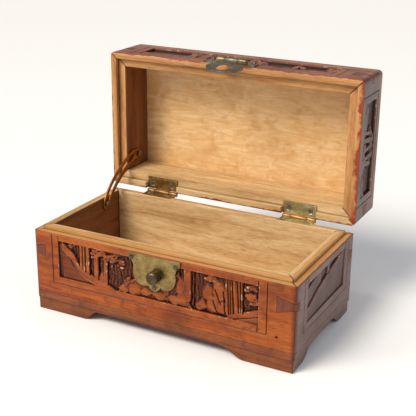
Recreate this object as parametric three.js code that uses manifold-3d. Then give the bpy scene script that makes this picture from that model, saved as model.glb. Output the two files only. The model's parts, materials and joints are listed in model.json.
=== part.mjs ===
// Carved camphor-wood jewelry box with a hinged lid, a slotted lid stay and a hasp.
// Millimetres, +Z up, front face towards -Y. The lid is modelled standing open.
import * as THREE from 'three';
import { mergeVertices } from 'three/addons/utils/BufferGeometryUtils.js';
import Module from 'manifold-3d';

const wasm = await Module();
wasm.setup();

// ---- Overall sizes ----
const WIDTH = 295;
const DEPTH = 153;
const LEDGE_HEIGHT = 89.5;
const LID_HEIGHT = 61;
const LID_OPEN_DEG = 90;

// ---- Boards ----
const WALL = 16;
const CORNER_RADIUS = 5;
const LIP_WIDTH = 8.2;
const LIP_HEIGHT = 4.3;
const LIP_CLEARANCE = 0.8;
const LID_GAP = 0.4;
const LID_REBATE = 5.5;
const LID_TOP_THICKNESS = 10;
const LID_TOP_EDGE_RADIUS = 4.6;
const FLOOR_THICKNESS = 8;
const JOINT_GAP = 0.3;
const ROUND_STEPS = 6;
const OGEE_STEPS = 12;

// ---- Plinth ----
const PLINTH_HEIGHT = 22;
const FLOOR_BEARING = 4;
const PLINTH_INSET = 2;
const PLINTH_BAND_HEIGHT = 8;
const PLINTH_BAND_INSET = 0.4;
const APRON_UNDERSIDE = 11;
const LONG_LEFT_FOOT = { length: 58.5, ogee: 16 };
const LONG_RIGHT_FOOT = { length: 52.3, ogee: 27.4 };
const SHORT_FOOT = { length: 26, ogee: 20.6 };

// ---- Sunk fields for the carving ----
const PANEL_DEPTH = 3.5;
const PANEL_LEFT_MARGIN = 31;
const PANEL_RIGHT_MARGIN = 38.7;
const SIDE_PANEL_END_MARGIN = 27;
const PANEL_BELOW_LEDGE = 7;
const PANEL_HEIGHT = 40;
const LID_PANEL_ABOVE_RIM = 9;
const LID_PANEL_HEIGHT = 34;
const TOP_PANEL_MARGIN = 24;

// ---- Corner keys ----
const KEY_LENGTH = 14.5;
const LONG_KEY_LENGTH = 20;
const SHORT_KEY_LENGTH = 8;
const KEY_NARROW = 5.8;
const KEY_FLARE = 0.52;
const KEY_DEPTH = 3;
const BASE_KEY_BELOW_LEDGE = 20.5;
const LID_KEY_ABOVE_RIM = 27;

// ---- Butt hinges ----
const HINGE_SPACING = 168;
const HINGE_LENGTH = 37.5;
const HINGE_AXIS_RISE = 4;
const KNUCKLE_RADIUS = 2.65;
const KNUCKLE_CLEARANCE = 0.35;
const END_KNUCKLE = 9.2;
const PIN_RADIUS = 1.3;
const PIN_CLEARANCE = 0.1;
const LEAF_THICKNESS = 1.3;
const LEAF_REACH = 13.3;
const LEAF_CLEARANCE = 0.3;
const HINGE_NOTCH_CLEARANCE = 0.8;
const SEAT_OVERLAP = 0.2;

// ---- Screws and pins ----
const SCREW_SPACING = 24.6;
const SCREW_FROM_BACK = 6.3;
const SCREW_HEAD_RADIUS = 3.3;
const SCREW_SHANK_RADIUS = 1.3;
const SCREW_LENGTH = 9;
const SCREW_CLEARANCE = 0.25;
const PIN_HEAD_RADIUS = 2.4;
const PIN_HEAD_HEIGHT = 1.1;
const PIN_SHANK_RADIUS = 0.8;
const PIN_LENGTH = 11;

// ---- Lid stay ----
const STAY_PIVOT_FROM_BACK = 14;
const STAY_PIVOT_RISE = 23.9;
const STAY_GUIDE_FROM_BACK = 26;
const STAY_GUIDE_DROP = 7.3;
const STAY_RATIO = -0.39;
const STAY_OVERRUN_DEG = 30;
const STAY_WIDTH = 13.2;
const STAY_THICKNESS = 1.5;
const STAY_SLOT = 4.6;
const STAY_SLOT_SPARE = 0.8;
const STAY_STEPS = 15;
const STAY_SCREW_RADIUS = 1.6;
const STAY_HEAD_RADIUS = 3.3;
const STAY_HEAD_HEIGHT = 1.8;

// ---- Lock plate and post ----
const BRASS_SHEET = 1.2;
const LOCK_X = -1.5;
const LOCK_PLATE_WIDTH = 58;
const LOCK_PLATE_WAIST = 47;
const LOCK_PLATE_HEIGHT = 36.5;
const POST_OFFSET = 4.1;
const POST_RADIUS = 6.4;
const POST_LENGTH = 13.5;
const POST_CHAMFER = 1.5;
const POST_TAIL_RADIUS = 2.5;
const POST_TAIL_LENGTH = 9;
const POST_HOLE_RADIUS = 2;
const POST_HOLE_FROM_PLATE = 4.5;

// ---- Hasp ----
const HASP_PLATE_WIDTH = 60;
const HASP_PLATE_HEIGHT = 22;
const HASP_KNUCKLE_PROUD = 0.2;
const HASP_AXIS_RISE = 1;
const HASP_KNUCKLE_RADIUS = 3.3;
const HASP_END_KNUCKLE = 9.5;
const HASP_NECK = 14.4;
const HASP_FLAP_WIDTH = 42;
const HASP_FLAP_LENGTH = 31.5;
const HASP_FLAP_THICKNESS = 1.4;
const HASP_HOLE_FROM_AXIS = 19.2;
const HASP_HOLE_END_CLEARANCE = 1.85;
const HASP_HOLE_SIDE_CLEARANCE = 2.75;
const HASP_DROOP_DEG = 12;

// ---- Worked-out places ----
const HALF_W = WIDTH / 2;
const HALF_D = DEPTH / 2;
const BAND_WIDTH = WALL - LIP_WIDTH - LIP_CLEARANCE;
const RIM = LEDGE_HEIGHT + LID_GAP;
const STEP = LEDGE_HEIGHT + LID_REBATE;
const LID_TOP = LEDGE_HEIGHT + LID_HEIGHT;
const TOP_BOARD = LID_TOP - LID_TOP_THICKNESS;
const HINGE_Y = HALF_D + KNUCKLE_RADIUS + KNUCKLE_CLEARANCE;
const HINGE_Z = LEDGE_HEIGHT + HINGE_AXIS_RISE;
const FRONT = -HALF_D;
const SHEET_FRONT = FRONT - JOINT_GAP - BRASS_SHEET;
const HASP_Y = FRONT - BRASS_SHEET - HASP_KNUCKLE_RADIUS - HASP_KNUCKLE_PROUD;
const HASP_Z = RIM + HASP_AXIS_RISE;
const POST_Z = HASP_Z - HASP_HOLE_FROM_AXIS;
const POST_X = LOCK_X + POST_OFFSET;
const LID_OPEN = THREE.MathUtils.degToRad(LID_OPEN_DEG);
const OPEN_BACK = HINGE_Y + LID_TOP - HINGE_Z;
const OPEN_FRONT = SHEET_FRONT - POST_LENGTH;
const CENTRE_Y = (OPEN_BACK + OPEN_FRONT) / 2;
const SIDES = [
  { name: 'front', turn: 0, half: HALF_W, out: HALF_D },
  { name: 'right', turn: Math.PI / 2, half: HALF_D, out: HALF_W },
  { name: 'back', turn: Math.PI, half: HALF_W, out: HALF_D },
  { name: 'left', turn: -Math.PI / 2, half: HALF_D, out: HALF_W },
];
const CORNERS = [
  { name: 'front_left', sx: -1, sy: -1, longKey: KEY_LENGTH, sideKey: KEY_LENGTH },
  { name: 'front_right', sx: 1, sy: -1, longKey: LONG_KEY_LENGTH, sideKey: SHORT_KEY_LENGTH },
  { name: 'back_right', sx: 1, sy: 1, longKey: KEY_LENGTH, sideKey: KEY_LENGTH },
  { name: 'back_left', sx: -1, sy: 1, longKey: KEY_LENGTH, sideKey: KEY_LENGTH },
];
const HINGES = [
  { name: 'left', x: -HINGE_SPACING / 2 },
  { name: 'right', x: HINGE_SPACING / 2 },
];

// ---- Finishes ----
const finish = (color, roughness, metalness = 0) => () =>
  new THREE.MeshStandardMaterial({ color, roughness, metalness });
const stainedWood = finish('#9a4a28', 0.5);
const plinthWood = finish('#84462c', 0.5);
const lidWood = finish('#a05a36', 0.5);
const paleWood = finish('#c99c60', 0.6);
const keyWood = finish('#6a4030', 0.5);
const agedBrass = finish('#9a8a45', 0.45, 0.9);
const brightBrass = finish('#b88a3c', 0.35, 0.9);
const steel = finish('#8a8780', 0.4, 0.9);

// ---- Solids ----
function toSolid(geometry) {
  const bare = geometry.clone();
  bare.deleteAttribute('normal');
  bare.deleteAttribute('uv');
  const merged = mergeVertices(bare, 1e-4);
  const vertProperties = new Float32Array(merged.attributes.position.array);
  const triVerts = new Uint32Array(merged.index.array);
  return new wasm.Manifold(new wasm.Mesh({ numProp: 3, vertProperties, triVerts }));
}

function toMesh(name, solid, material) {
  const result = solid.getMesh();
  const geometry = new THREE.BufferGeometry();
  geometry.setAttribute('position', new THREE.BufferAttribute(result.vertProperties, 3));
  geometry.setIndex(new THREE.BufferAttribute(result.triVerts, 1));
  geometry.computeVertexNormals();
  const mesh = new THREE.Mesh(geometry, material());
  mesh.name = name;
  return mesh;
}

function box(x0, x1, y0, y1, z0, z1) {
  const geometry = new THREE.BoxGeometry(Math.abs(x1 - x0), Math.abs(y1 - y0), Math.abs(z1 - z0));
  geometry.translate((x0 + x1) / 2, (y0 + y1) / 2, (z0 + z1) / 2);
  return toSolid(geometry);
}

// Plan outline in X and Y, standing from z0 to z1.
function prism(shape, z0, z1, turn = 0) {
  const options = { depth: z1 - z0, bevelEnabled: false, curveSegments: ROUND_STEPS };
  const geometry = new THREE.ExtrudeGeometry(shape, options);
  geometry.translate(0, 0, z0);
  geometry.rotateZ(turn);
  return toSolid(geometry);
}

// Outline in X and Z, from y0 back to y1.
function plateAcross(shape, y0, y1) {
  const options = { depth: y1 - y0, bevelEnabled: false, curveSegments: ROUND_STEPS };
  const geometry = new THREE.ExtrudeGeometry(shape, options);
  geometry.rotateX(Math.PI / 2);
  geometry.translate(0, y1, 0);
  return toSolid(geometry);
}

// A turned piece: radius and height pairs up +Z, then tipped by tilt (a rotation about X or Y).
function turned(profile, sides = 24) {
  const points = profile.map(([radius, height]) => new THREE.Vector2(radius, height));
  const geometry = new THREE.LatheGeometry(points, sides);
  geometry.rotateX(Math.PI / 2);
  return geometry;
}

function rodAlongX(x0, x1, y, z, radius) {
  const geometry = turned([[0, 0], [radius, 0], [radius, x1 - x0], [0, x1 - x0]]);
  geometry.rotateY(Math.PI / 2);
  geometry.translate(x0, y, z);
  return toSolid(geometry);
}

function polygon(points) {
  return new THREE.Shape(points.map(([x, y]) => new THREE.Vector2(x, y)));
}

function roundedRectangle(halfX, halfY, radius) {
  const shape = new THREE.Shape();
  shape.absarc(halfX - radius, halfY - radius, radius, 0, Math.PI / 2);
  shape.absarc(-halfX + radius, halfY - radius, radius, Math.PI / 2, Math.PI);
  shape.absarc(-halfX + radius, -halfY + radius, radius, Math.PI, 1.5 * Math.PI);
  shape.absarc(halfX - radius, -halfY + radius, radius, 1.5 * Math.PI, 2 * Math.PI);
  return shape;
}

// ---- Boards mitred at the corners ----
// The stretch of one side's board between two distances in from the outer face.
function mitred(side, outer, inner, z0, z1) {
  const shave = JOINT_GAP / Math.SQRT2;
  const near = side.half - outer - shave;
  const far = side.half - inner - shave;
  const points = [[-near, -side.out + outer], [near, -side.out + outer],
    [far, -side.out + inner], [-far, -side.out + inner]];
  return prism(polygon(points), z0, z1, side.turn);
}

function roundedColumn(inset, z0, z1) {
  return prism(roundedRectangle(HALF_W - inset, HALF_D - inset, CORNER_RADIUS), z0, z1);
}

// A sunk field cut into a side's outer face; the long boards' fields lie a little left of the middle.
function sunkField(side, z0, z1) {
  const long = side.half === HALF_W;
  const left = -side.half + (long ? PANEL_LEFT_MARGIN : SIDE_PANEL_END_MARGIN);
  const right = side.half - (long ? PANEL_RIGHT_MARGIN : SIDE_PANEL_END_MARGIN);
  const shape = polygon([[left, -side.out - 1], [right, -side.out - 1],
    [right, -side.out + PANEL_DEPTH], [left, -side.out + PANEL_DEPTH]]);
  return prism(shape, z0, z1, side.turn);
}

// ---- Corner keys ----
// One dovetail leaf: narrow at the corner, wide where it ends. grow makes its housing.
function keyLeaf(length, grow) {
  const narrow = KEY_NARROW / 2 + grow;
  const wide = (KEY_NARROW + KEY_FLARE * length) / 2 + grow;
  const end = length + grow;
  return [[-1, -narrow], [0, -narrow], [end, -wide], [end, wide], [0, narrow], [-1, narrow]];
}

function cornerKey(corner, z, grow) {
  const longLeaf = keyLeaf(corner.longKey, grow);
  const sideLeaf = keyLeaf(corner.sideKey, grow);
  const depth = KEY_DEPTH + grow;
  const yEdges = [corner.sy * (HALF_D + 1), corner.sy * (HALF_D - depth)].sort((a, b) => a - b);
  const faceLeaf = polygon(longLeaf.map(([u, v]) => [corner.sx * (HALF_W - u), z + v]));
  const front = plateAcross(faceLeaf, yEdges[0], yEdges[1]);
  const sideOutline = polygon(sideLeaf.map(([u, v]) => [-z - v, corner.sy * (HALF_D - u)]));
  const sideGeometry = new THREE.ExtrudeGeometry(sideOutline, { depth: depth + 1, bevelEnabled: false });
  sideGeometry.rotateY(Math.PI / 2);
  sideGeometry.translate(corner.sx > 0 ? HALF_W - depth : -HALF_W - 1, 0, 0);
  return front.add(toSolid(sideGeometry));
}

function keyPiece(corner, z) {
  return cornerKey(corner, z, 0).intersect(roundedColumn(0, z - corner.longKey, z + corner.longKey));
}

function cutHousings(solid, z) {
  return CORNERS.reduce((left, corner) => left.subtract(cornerKey(corner, z, JOINT_GAP)), solid);
}

// ---- Screws and pins ----
// Countersunk screw, head up at height 0, shank down. grow makes its hole.
function screwGeometry(grow) {
  const head = SCREW_HEAD_RADIUS + grow;
  const shank = SCREW_SHANK_RADIUS + grow;
  const bottom = -SCREW_LENGTH - grow;
  const top = grow;
  return turned([[0, bottom], [shank, bottom], [shank, -LEAF_THICKNESS], [head, 0], [head, top], [0, top]]);
}

function leafScrew(x, z, up, grow) {
  const geometry = screwGeometry(grow);
  if (!up) geometry.rotateX(Math.PI);
  geometry.translate(x, HALF_D - SCREW_FROM_BACK, z);
  return toSolid(geometry);
}

// Round-headed pin driven in along +Y, with its head against a sheet's front.
function sheetPin(x, z, grow) {
  const shank = PIN_SHANK_RADIUS + grow;
  const geometry = turned([[0, -PIN_LENGTH - grow], [shank, -PIN_LENGTH - grow], [shank, JOINT_GAP],
    [PIN_HEAD_RADIUS, JOINT_GAP], [PIN_HEAD_RADIUS * 0.8, PIN_HEAD_HEIGHT],
    [PIN_HEAD_RADIUS * 0.35, PIN_HEAD_HEIGHT + JOINT_GAP], [0, PIN_HEAD_HEIGHT + JOINT_GAP]], 16);
  geometry.rotateX(Math.PI / 2);
  geometry.translate(x, SHEET_FRONT, z);
  return toSolid(geometry);
}

const LOCK_PINS = [
  { name: 'left', x: LOCK_X - 26, z: LEDGE_HEIGHT - 5 },
  { name: 'right', x: LOCK_X + 24, z: LEDGE_HEIGHT - 6 },
  { name: 'bottom', x: LOCK_X, z: LEDGE_HEIGHT - 33 },
];
const HASP_PINS = [
  { name: 'left', x: LOCK_X - 24, z: RIM + 14 },
  { name: 'right', x: LOCK_X + 24, z: RIM + 14 },
];

// ---- Base ----
function hingeSpan(hinge, spare) {
  return [hinge.x - HINGE_LENGTH / 2 - spare, hinge.x + HINGE_LENGTH / 2 + spare];
}

const BASE_LEAF_TOP = HINGE_Z - LEAF_CLEARANCE;
const BASE_LEAF_BOTTOM = BASE_LEAF_TOP - LEAF_THICKNESS;
const LID_LEAF_BOTTOM = HINGE_Z + LEAF_CLEARANCE;
const LID_LEAF_TOP = LID_LEAF_BOTTOM + LEAF_THICKNESS;

// A seat stands on the ledge under each leaf, and the lip is let down to the same height.
function fitBaseHinges(solid) {
  const seatTop = BASE_LEAF_BOTTOM - JOINT_GAP;
  return HINGES.reduce((wall, hinge) => {
    const seat = hingeSpan(hinge, -JOINT_GAP);
    const mortise = hingeSpan(hinge, JOINT_GAP);
    const cut = box(...mortise, HALF_D - LEAF_REACH - JOINT_GAP, HALF_D + 1, seatTop, HINGE_Z + LIP_HEIGHT);
    const places = [-1, 1].map((s) => hinge.x + s * SCREW_SPACING / 2);
    const screws = places.map((x) => leafScrew(x, BASE_LEAF_TOP, true, SCREW_CLEARANCE));
    return wall.add(box(...seat, HALF_D - WALL + LIP_WIDTH - SEAT_OVERLAP, HALF_D, LEDGE_HEIGHT - 1, seatTop))
      .subtract(cut).subtract(screws[0]).subtract(screws[1]);
  }, solid);
}

function baseWall(side) {
  const body = mitred(side, 0, WALL, PLINTH_HEIGHT, LEDGE_HEIGHT);
  const lip = mitred(side, WALL - LIP_WIDTH, WALL, LEDGE_HEIGHT - 1, LEDGE_HEIGHT + LIP_HEIGHT);
  let wall = body.add(lip).intersect(roundedColumn(0, 0, LEDGE_HEIGHT + LIP_HEIGHT));
  wall = cutHousings(wall, LEDGE_HEIGHT - BASE_KEY_BELOW_LEDGE);
  if (side.name === 'back') return fitBaseHinges(wall);
  const fieldTop = LEDGE_HEIGHT - PANEL_BELOW_LEDGE;
  wall = wall.subtract(sunkField(side, fieldTop - PANEL_HEIGHT, fieldTop));
  if (side.name === 'front') return drillFront(wall);
  return side.name === 'left' ? wall.subtract(guideScrew(JOINT_GAP)) : wall;
}

function drillFront(wall) {
  const drilled = LOCK_PINS.reduce((left, pin) => left.subtract(sheetPin(pin.x, pin.z, JOINT_GAP)), wall);
  return drilled.subtract(lockPost(JOINT_GAP));
}

function baseFloor() {
  const inset = WALL + JOINT_GAP;
  return box(-HALF_W + inset, HALF_W - inset, -HALF_D + inset, HALF_D - inset,
    PLINTH_HEIGHT, PLINTH_HEIGHT + FLOOR_THICKNESS);
}

// The space under an apron: flat top, an ogee down to each foot.
function archOutline(half, left, right) {
  const leftToe = left.length - half;
  const leftCrown = leftToe + left.ogee;
  const rightToe = half - right.length;
  const rightCrown = rightToe - right.ogee;
  const shape = new THREE.Shape();
  shape.moveTo(leftToe, -1);
  shape.lineTo(rightToe, -1);
  shape.lineTo(rightToe, 0);
  ogee(shape, rightToe, 0, rightCrown, APRON_UNDERSIDE);
  shape.lineTo(leftCrown, APRON_UNDERSIDE);
  ogee(shape, leftCrown, APRON_UNDERSIDE, leftToe, 0);
  return shape;
}

// Gentle S from one level to another, nearly level at both ends.
function ogee(shape, x0, z0, x1, z1) {
  const reach = (x1 - x0) * 0.4;
  shape.bezierCurveTo(x0 + reach, z0, x1 - reach, z1, x1, z1);
}

// The upper band is flush with the box above; the foot below it stands back a little.
// The board reaches in past the walls so that the floor rests on it.
function plinthBoard(side) {
  const back = WALL + FLOOR_BEARING;
  const top = PLINTH_HEIGHT - JOINT_GAP;
  const bandFoot = PLINTH_HEIGHT - PLINTH_BAND_HEIGHT;
  const foot = mitred(side, PLINTH_INSET, back, 0, top)
    .intersect(roundedColumn(PLINTH_INSET, -1, PLINTH_HEIGHT));
  const band = mitred(side, PLINTH_BAND_INSET, back, bandFoot, top)
    .intersect(roundedColumn(PLINTH_BAND_INSET, -1, PLINTH_HEIGHT));
  const long = side.half === HALF_W;
  const arch = archOutline(side.half, long ? LONG_LEFT_FOOT : SHORT_FOOT,
    long ? LONG_RIGHT_FOOT : SHORT_FOOT);
  const options = { depth: 2 * back, bevelEnabled: false, curveSegments: OGEE_STEPS };
  const geometry = new THREE.ExtrudeGeometry(arch, options);
  geometry.rotateX(Math.PI / 2);
  geometry.translate(0, -side.out + 1.5 * back, 0);
  geometry.rotateZ(side.turn);
  return foot.add(band).subtract(toSolid(geometry));
}

// ---- Lid, in its closed place ----
function lidWall(side) {
  const top = TOP_BOARD - JOINT_GAP;
  const band = mitred(side, 0, BAND_WIDTH, RIM, top);
  const body = mitred(side, BAND_WIDTH - 1, WALL, STEP, top);
  let wall = band.add(body).intersect(roundedColumn(0, RIM, top));
  wall = cutHousings(wall, RIM + LID_KEY_ABOVE_RIM);
  if (side.name === 'back') return fitLidHinges(wall);
  const bottom = RIM + LID_PANEL_ABOVE_RIM;
  wall = wall.subtract(sunkField(side, bottom, bottom + LID_PANEL_HEIGHT));
  if (side.name === 'front') {
    return HASP_PINS.reduce((left, pin) => left.subtract(sheetPin(pin.x, pin.z, JOINT_GAP)), wall);
  }
  return side.name === 'left' ? wall.subtract(pivotScrew(JOINT_GAP)) : wall;
}

// The band is cut away behind each hinge, and the leaf is let a little way into the step.
function fitLidHinges(solid) {
  return HINGES.reduce((wall, hinge) => {
    const notch = hingeSpan(hinge, HINGE_NOTCH_CLEARANCE);
    const cut = box(...notch, HALF_D - LEAF_REACH - JOINT_GAP, HALF_D + 1, RIM - 1, LID_LEAF_TOP + JOINT_GAP);
    const places = [-1, 1].map((s) => hinge.x + s * SCREW_SPACING / 2);
    const screws = places.map((x) => leafScrew(x, LID_LEAF_BOTTOM, false, SCREW_CLEARANCE));
    return wall.subtract(cut).subtract(screws[0]).subtract(screws[1]);
  }, solid);
}

function lidTop() {
  const edge = LID_TOP_EDGE_RADIUS;
  const outline = roundedRectangle(HALF_W - edge, HALF_D - edge, CORNER_RADIUS - edge);
  const geometry = new THREE.ExtrudeGeometry(outline, {
    depth: LID_TOP_THICKNESS, bevelThickness: edge, bevelSize: edge,
    bevelSegments: ROUND_STEPS, curveSegments: 3 });
  geometry.translate(0, 0, LID_TOP - LID_TOP_THICKNESS - edge);
  const below = box(-WIDTH, WIDTH, -DEPTH, DEPTH, TOP_BOARD - LID_TOP_THICKNESS, TOP_BOARD);
  const reachX = HALF_W - TOP_PANEL_MARGIN;
  const reachY = HALF_D - TOP_PANEL_MARGIN;
  const field = box(-reachX, reachX, -reachY, reachY, LID_TOP - PANEL_DEPTH, LID_TOP + 1);
  return toSolid(geometry).subtract(below).subtract(field);
}

// ---- Hinges ----
function knuckle(x0, x1) {
  return rodAlongX(x0, x1, HINGE_Y, HINGE_Z, KNUCKLE_RADIUS);
}

function hingeBore(hinge) {
  const [x0, x1] = hingeSpan(hinge, 1);
  return rodAlongX(x0, x1, HINGE_Y, HINGE_Z, PIN_RADIUS + PIN_CLEARANCE);
}

// A leaf stops short of the other leaf's knuckle and runs into its own.
function leafPlate(hinge, knuckleSpans, z0, z1) {
  const clear = HINGE_Y - KNUCKLE_RADIUS - LEAF_CLEARANCE;
  const plate = box(...hingeSpan(hinge, 0), HALF_D - LEAF_REACH, clear, z0, z1);
  return knuckleSpans.reduce((leaf, [x0, x1]) =>
    leaf.add(box(x0, x1, clear - 1, HINGE_Y, z0, z1)).add(knuckle(x0, x1)), plate);
}

function baseLeaf(hinge) {
  const [x0, x1] = hingeSpan(hinge, 0);
  const leaf = leafPlate(hinge, [[x0, x0 + END_KNUCKLE], [x1 - END_KNUCKLE, x1]],
    BASE_LEAF_BOTTOM, BASE_LEAF_TOP);
  return drillLeaf(leaf, hinge, BASE_LEAF_TOP, true);
}

function lidLeaf(hinge) {
  const [x0, x1] = hingeSpan(hinge, -END_KNUCKLE - LEAF_CLEARANCE);
  const leaf = leafPlate(hinge, [[x0, x1]], LID_LEAF_BOTTOM, LID_LEAF_TOP);
  return drillLeaf(leaf, hinge, LID_LEAF_BOTTOM, false);
}

function drillLeaf(leaf, hinge, z, up) {
  return [-1, 1].reduce((left, s) =>
    left.subtract(leafScrew(hinge.x + s * SCREW_SPACING / 2, z, up, SCREW_CLEARANCE)),
  leaf.subtract(hingeBore(hinge)));
}

function hingePin(hinge) {
  return rodAlongX(...hingeSpan(hinge, 0), HINGE_Y, HINGE_Z, PIN_RADIUS);
}

// ---- Lid stay ----
// Places are in the Y-Z plane of the left wall; turning is about X, closing positive.
const WALL_INNER = -HALF_W + WALL;
const STAY_X = WALL_INNER + JOINT_GAP;
const HEAD_X = STAY_X + STAY_THICKNESS + JOINT_GAP;
const HINGE_AXIS = new THREE.Vector2(HINGE_Y, HINGE_Z);
const PIVOT_CLOSED = new THREE.Vector2(HALF_D - WALL - STAY_PIVOT_FROM_BACK, HINGE_Z + STAY_PIVOT_RISE);
const PIVOT_OPEN = PIVOT_CLOSED.clone().rotateAround(HINGE_AXIS, -LID_OPEN);
const GUIDE = new THREE.Vector2(HALF_D - WALL - STAY_GUIDE_FROM_BACK, HINGE_Z - STAY_GUIDE_DROP);

// Where the guide screw stands in the arm's own frame when the lid has closed by an angle.
function guideInArm(closed) {
  const pivot = PIVOT_OPEN.clone().rotateAround(HINGE_AXIS, closed);
  const armTurn = (1 + STAY_RATIO) * closed;
  return GUIDE.clone().sub(pivot).rotateAround(new THREE.Vector2(), -armTurn).add(PIVOT_OPEN);
}

function slotCurve() {
  const last = LID_OPEN + THREE.MathUtils.degToRad(STAY_OVERRUN_DEG);
  const points = [];
  for (let i = STAY_STEPS; i >= 0; i -= 1) points.push(guideInArm(last * i / STAY_STEPS));
  return points;
}

// A band of even width along a line of points, with round ends.
function bandOutline(points, halfWidth, spare) {
  const ends = [points[1].clone().sub(points[0]), points.at(-1).clone().sub(points.at(-2))];
  const last = points.at(-1).clone().add(ends[1].clone().setLength(spare));
  const line = [...points.slice(0, -1), last];
  const turns = line.map((point, i) => {
    const before = line[Math.max(i - 1, 0)];
    const after = line[Math.min(i + 1, line.length - 1)];
    return after.clone().sub(before).angle();
  });
  const offset = (i, angle) => new THREE.Vector2(
    line[i].x + halfWidth * Math.cos(turns[i] + angle), line[i].y + halfWidth * Math.sin(turns[i] + angle));
  const outline = line.map((point, i) => offset(i, -Math.PI / 2));
  for (let k = 1; k < ROUND_STEPS; k += 1) {
    outline.push(offset(line.length - 1, Math.PI * (k / ROUND_STEPS - 0.5)));
  }
  for (let i = line.length - 1; i >= 0; i -= 1) outline.push(offset(i, Math.PI / 2));
  for (let k = 1; k < ROUND_STEPS; k += 1) outline.push(offset(0, Math.PI * (k / ROUND_STEPS + 0.5)));
  return outline;
}

// An outline in Y and Z, standing from x0 towards +X.
function plateAlongX(outline, x0, thickness) {
  const shape = new THREE.Shape(outline.map((point) => new THREE.Vector2(-point.y, point.x)));
  const geometry = new THREE.ExtrudeGeometry(shape, { depth: thickness, bevelEnabled: false });
  geometry.rotateY(Math.PI / 2);
  geometry.translate(x0, 0, 0);
  return toSolid(geometry);
}

function stayArm() {
  const slot = slotCurve();
  const arm = plateAlongX(bandOutline([PIVOT_OPEN, ...slot], STAY_WIDTH / 2, STAY_SLOT_SPARE),
    STAY_X, STAY_THICKNESS);
  const opening = plateAlongX(bandOutline(slot, STAY_SLOT / 2, STAY_SLOT_SPARE),
    STAY_X - 1, STAY_THICKNESS + 2);
  const hole = rodAlongX(STAY_X - 1, HEAD_X, PIVOT_OPEN.x, PIVOT_OPEN.y, STAY_SCREW_RADIUS + JOINT_GAP);
  return arm.subtract(opening).subtract(hole);
}

// Round-headed screw along X: its tip in the wall, its head proud of the arm.
function stayScrew(place, grow) {
  const shank = rodAlongX(WALL_INNER - SCREW_LENGTH - grow, HEAD_X + 1, place.x, place.y,
    STAY_SCREW_RADIUS + grow);
  const dome = turned([[0, 0], [STAY_HEAD_RADIUS, 0], [STAY_HEAD_RADIUS, STAY_HEAD_HEIGHT * 0.35],
    [STAY_HEAD_RADIUS * 0.7, STAY_HEAD_HEIGHT * 0.85], [0, STAY_HEAD_HEIGHT]]);
  dome.rotateY(Math.PI / 2);
  dome.translate(HEAD_X, place.x, place.y);
  return shank.add(toSolid(dome));
}

function guideScrew(grow) {
  return stayScrew(GUIDE, grow);
}

function pivotScrew(grow) {
  return stayScrew(PIVOT_CLOSED, grow);
}

// ---- Lock plate and post ----
// Straight-topped plate with concave shoulders and three lobes below.
function lockPlateOutline() {
  const top = LEDGE_HEIGHT - JOINT_GAP;
  const half = LOCK_PLATE_WIDTH / 2;
  const waist = LOCK_PLATE_WAIST / 2;
  const drop = (share) => top - LOCK_PLATE_HEIGHT * share;
  const shape = new THREE.Shape();
  shape.moveTo(LOCK_X - half, top);
  shape.lineTo(LOCK_X - half * 0.98, drop(0.16));
  shape.quadraticCurveTo(LOCK_X - waist * 1.02, drop(0.22), LOCK_X - waist, drop(0.38));
  shape.bezierCurveTo(LOCK_X - waist * 1.08, drop(0.66), LOCK_X - waist * 0.9, drop(0.88),
    LOCK_X - 13, drop(0.9));
  shape.quadraticCurveTo(LOCK_X - 9, drop(0.9), LOCK_X - 7, drop(0.85));
  shape.bezierCurveTo(LOCK_X - 5, drop(0.96), LOCK_X - 2, drop(1), LOCK_X, drop(1));
  shape.bezierCurveTo(LOCK_X + 2, drop(1), LOCK_X + 5, drop(0.96), LOCK_X + 7, drop(0.85));
  shape.quadraticCurveTo(LOCK_X + 9, drop(0.9), LOCK_X + 13, drop(0.9));
  shape.bezierCurveTo(LOCK_X + waist * 0.9, drop(0.88), LOCK_X + waist * 1.08, drop(0.66),
    LOCK_X + waist, drop(0.38));
  shape.quadraticCurveTo(LOCK_X + waist * 1.02, drop(0.22), LOCK_X + half * 0.98, drop(0.16));
  shape.lineTo(LOCK_X + half, top);
  return shape;
}

function lockPlate() {
  const plate = plateAcross(lockPlateOutline(), SHEET_FRONT, SHEET_FRONT + BRASS_SHEET);
  const drilled = LOCK_PINS.reduce((left, pin) => left.subtract(sheetPin(pin.x, pin.z, JOINT_GAP)), plate);
  return drilled.subtract(lockPost(JOINT_GAP));
}

// Turned post with a chamfered end, a tail through the plate and a cross hole for a pin.
function lockPost(grow) {
  const tail = POST_TAIL_RADIUS + grow;
  const bottom = -POST_TAIL_LENGTH - grow;
  const geometry = turned([[0, bottom], [tail, bottom], [tail, JOINT_GAP], [POST_RADIUS, JOINT_GAP],
    [POST_RADIUS, POST_LENGTH - POST_CHAMFER], [POST_RADIUS - POST_CHAMFER, POST_LENGTH], [0, POST_LENGTH]]);
  geometry.rotateX(Math.PI / 2);
  geometry.translate(POST_X, SHEET_FRONT, POST_Z);
  const hole = rodAlongX(POST_X - 2 * POST_RADIUS, POST_X + 2 * POST_RADIUS,
    SHEET_FRONT - POST_HOLE_FROM_PLATE, POST_Z, POST_HOLE_RADIUS);
  return toSolid(geometry).subtract(hole);
}

// ---- Hasp, in the closed lid's frame ----
function haspKnuckle(x0, x1) {
  return rodAlongX(x0, x1, HASP_Y, HASP_Z, HASP_KNUCKLE_RADIUS);
}

function haspSpan() {
  const half = HASP_NECK / 2 + LEAF_CLEARANCE + HASP_END_KNUCKLE;
  return [POST_X - half, POST_X + half];
}

function haspBore() {
  const [x0, x1] = haspSpan();
  return rodAlongX(x0 - 1, x1 + 1, HASP_Y, HASP_Z, PIN_RADIUS + PIN_CLEARANCE);
}

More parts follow.
